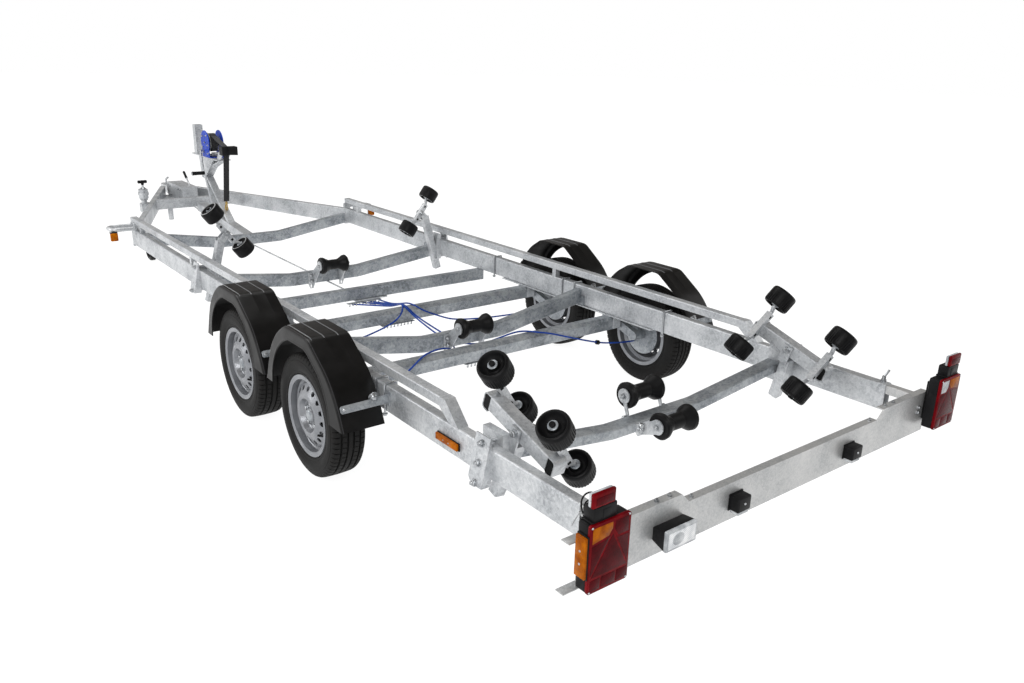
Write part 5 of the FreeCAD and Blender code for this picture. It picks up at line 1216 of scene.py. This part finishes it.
def make_jockey_grip():
    """Black T handle over the jockey wheel's spindle, with the zinc gear top below."""
    form = bmesh.new()
    x, y = JOCKEY
    up = (0, 0, 1)
    spin(form, T_BAR, aimed((x, y, 722), (1, 0, 0)), 28)
    spin(form, [(0, 0), (0, 11), (6, 12.5), (24, 14.5), (30, 14), (30, 0)],
         aimed((x, y, 694), up), 28)
    settle(form, "jockey_grip", "chassis", [BLACK_PLASTIC], 40)
    form = bmesh.new()
    spin(form, [(0, 24.2), (0, 31), (3, 33), (12, 33), (15, 31), (15, 24.2)],
         aimed((x, y, 556), up), 36)
    spin(form, [(0, 9.2), (0, 26), (4, 27), (12, 20), (18, 14), (18, 9.2)],
         aimed((x, y, 655.5), up), 36)
    for bolt_x, bolt_y in arc(x, y, 40, 20, 60, 6):
        join(form, bolt_head(10.0), aimed((bolt_x, bolt_y, 628), up))
    settle(form, "jockey_gear_top", "chassis", [ZINC_STEEL], 35)


make_jockey_grip()

# Winch: wound strap, ratchet gear, spacers
WOUND_RADIUS = 80.0
CORE_RADIUS = 31.0
WOUND_TURNS = 18
STRAP_EDGE = 24.6
GEAR_X = -46.0
TOOTH_DEPTH = 4.0


def gear(form, place, radius, teeth, width):
    outline = []
    for i in range(teeth):
        for share, cut in ((0.0, 1), (0.22, 1), (0.36, 0), (0.64, 0), (0.78, 1)):
            outline += arc(0, 0, radius - cut * TOOTH_DEPTH, 360 * (i + share) / teeth, 0, 1)
    slab(form, outline, width, place @ tilted(90, "Y"))


def make_winch_parts():
    form = bmesh.new()
    drum = moved(0, *DRUM_YZ)
    side = [(STRAP_EDGE, CORE_RADIUS - 0.5)]
    for i in range(WOUND_TURNS):
        side.append((STRAP_EDGE + 0.8 * (i % 2),
                     CORE_RADIUS + (WOUND_RADIUS - CORE_RADIUS) * (i + 0.5) / WOUND_TURNS))
    side.append((24, WOUND_RADIUS))
    spin(form, [(-x, r) for x, r in side] + side[::-1], drum, 72)
    settle(form, "wound_strap", "winch_drum", [WEBBING], 30)
    form = bmesh.new()
    gear(form, moved(GEAR_X, *DRUM_YZ), 86.0, 44, 7.0)
    for x in (-38, 28):
        spin(form, [(x, 30.2), (x, 52), (x + 2, 52), (x + 2, 30.2)], drum, 40)
    settle(form, "drum_gear", "winch_drum", [ZINC_STEEL], 30)
    form = bmesh.new()
    for y, z in ((4366, 978), (4490, 972), (4428, 966)):
        spin(form, [(-60, 0), (-60, 9), (-50, 9), (-49, 6.5), (49, 6.5), (50, 9), (60, 9),
                    (60, 0)], moved(0, y, z), 20)
    blocks(form, Matrix(), (-60, 4352, 958.3, 60, 4504, 963, 1.0),
           (-34, 4372, 962, 34, 4380, 1004, 1.5), (-60, 4492, 962, -22, 4500, 996, 1.5),
           (26, 4410, 962, 54, 4452, 978, 3.0))
    settle(form, "winch_spacers", "chassis", [ZINC_STEEL], 30)
    form = bmesh.new()
    gear(form, moved(GEAR_X, *CRANK_YZ), 15.0, 10, 8.0)
    settle(form, "crank_pinion", "winch_crank", [ZINC_STEEL], 30)


make_winch_parts()


# Stage: pale floor, soft lamps and a pale surround
def seen_directly(tree):
    """1 for rays from the camera, a mirror or glass, so that all show the white paper."""
    ray = add(tree, "ShaderNodeLightPath").outputs
    mirror = add(tree, MATH, {0: ray["Is Glossy Ray"], 1: ray["Is Transmission Ray"]},
                 operation="MAXIMUM")
    return add(tree, MATH, {0: ray["Is Camera Ray"], 1: mirror}, operation="MAXIMUM")


FLOOR_REACH = 60.0
# Lamps: name, place, aim and watts
LAMPS = (("key_softbox", (-6.0, -7.0, 5.0), (0.0, 0.0, 0.3), 350.0),
         ("side_softbox", (-7.5, 3.0, 3.5), (0.0, 2.0, 0.3), 240.0),
         ("fill_softbox", (6.5, -5.0, 4.0), (0.0, 0.0, 0.3), 80.0),
         ("top_softbox", (-0.5, 1.5, 6.5), (0.0, 0.8, 0.3), 150.0),
         ("back_softbox", (-3.0, 8.0, 5.0), (0.0, 0.5, 0.3), 90.0))
LAMP_SIZE = 4.0


def set_floor():
    s = FLOOR_REACH
    mesh = bpy.data.meshes.new("studio_floor")
    mesh.from_pydata([(-s, -s, 0), (s, -s, 0), (s, s, 0), (-s, s, 0)], [], [(0, 1, 2, 3)])
    paper = bpy.data.materials.new("white_paper_floor")
    paper.use_nodes = True
    tree = paper.node_tree
    shader = add(tree, tree.nodes["Principled BSDF"], {"Base Color": srgb("#F6F6F6"),
                                                       "Roughness": 0.9})
    glow = add(tree, "ShaderNodeEmission", {"Color": (1, 1, 1, 1), "Strength": 1.16})
    share = add(tree, MATH, {0: seen_directly(tree), 1: 0.8}, operation="MULTIPLY")
    mix = add(tree, "ShaderNodeMixShader", {0: share, 1: shader, 2: glow})
    add(tree, tree.nodes["Material Output"], {0: mix})
    mesh.materials.append(paper)
    placed("studio_floor", mesh)


def set_surround():
    """White for the camera, paper below a grey wall for mirrored rays, and a soft grey
    sky for the rest."""
    scene.world = bpy.data.worlds.new("studio_surround")
    scene.world.use_nodes = True
    tree = scene.world.node_tree
    height = add(tree, "ShaderNodeSeparateXYZ",
                 {0: add(tree, "ShaderNodeTexCoord").outputs["Generated"]}).outputs[2]
    sky = add(tree, RAMP, {0: height}, [(0.0, 0.42), (0.3, 0.38), (0.85, 0.6)])
    wall = add(tree, RAMP, {0: height}, [(0.08, 1.0), (0.22, "#706A64"), (0.9, "#85807A")])
    mirrored = add(tree, "ShaderNodeMix", {0: seen_directly(tree), 6: sky, 7: wall},
                   data_type="RGBA")
    eye = add(tree, "ShaderNodeLightPath").outputs["Is Camera Ray"]
    white = add(tree, "ShaderNodeMix", {0: eye, 6: mirrored.outputs[2], 7: (1, 1, 1, 1)},
                data_type="RGBA")
    add(tree, tree.nodes["Background"], {"Color": white.outputs[2], "Strength": 1.0})


def set_lamps():
    for name, place, aim, power in LAMPS:
        data = bpy.data.lights.new(name, "AREA")
        data.shape = "SQUARE"
        data.size = LAMP_SIZE
        data.energy = power
        lamp = placed(name, data)
        lamp.location = place
        lamp.rotation_euler = (Vector(aim) - Vector(place)).to_track_quat("-Z", "Y").to_euler()


set_floor()
set_surround()
set_lamps()
scene.view_settings.view_transform = "Standard"
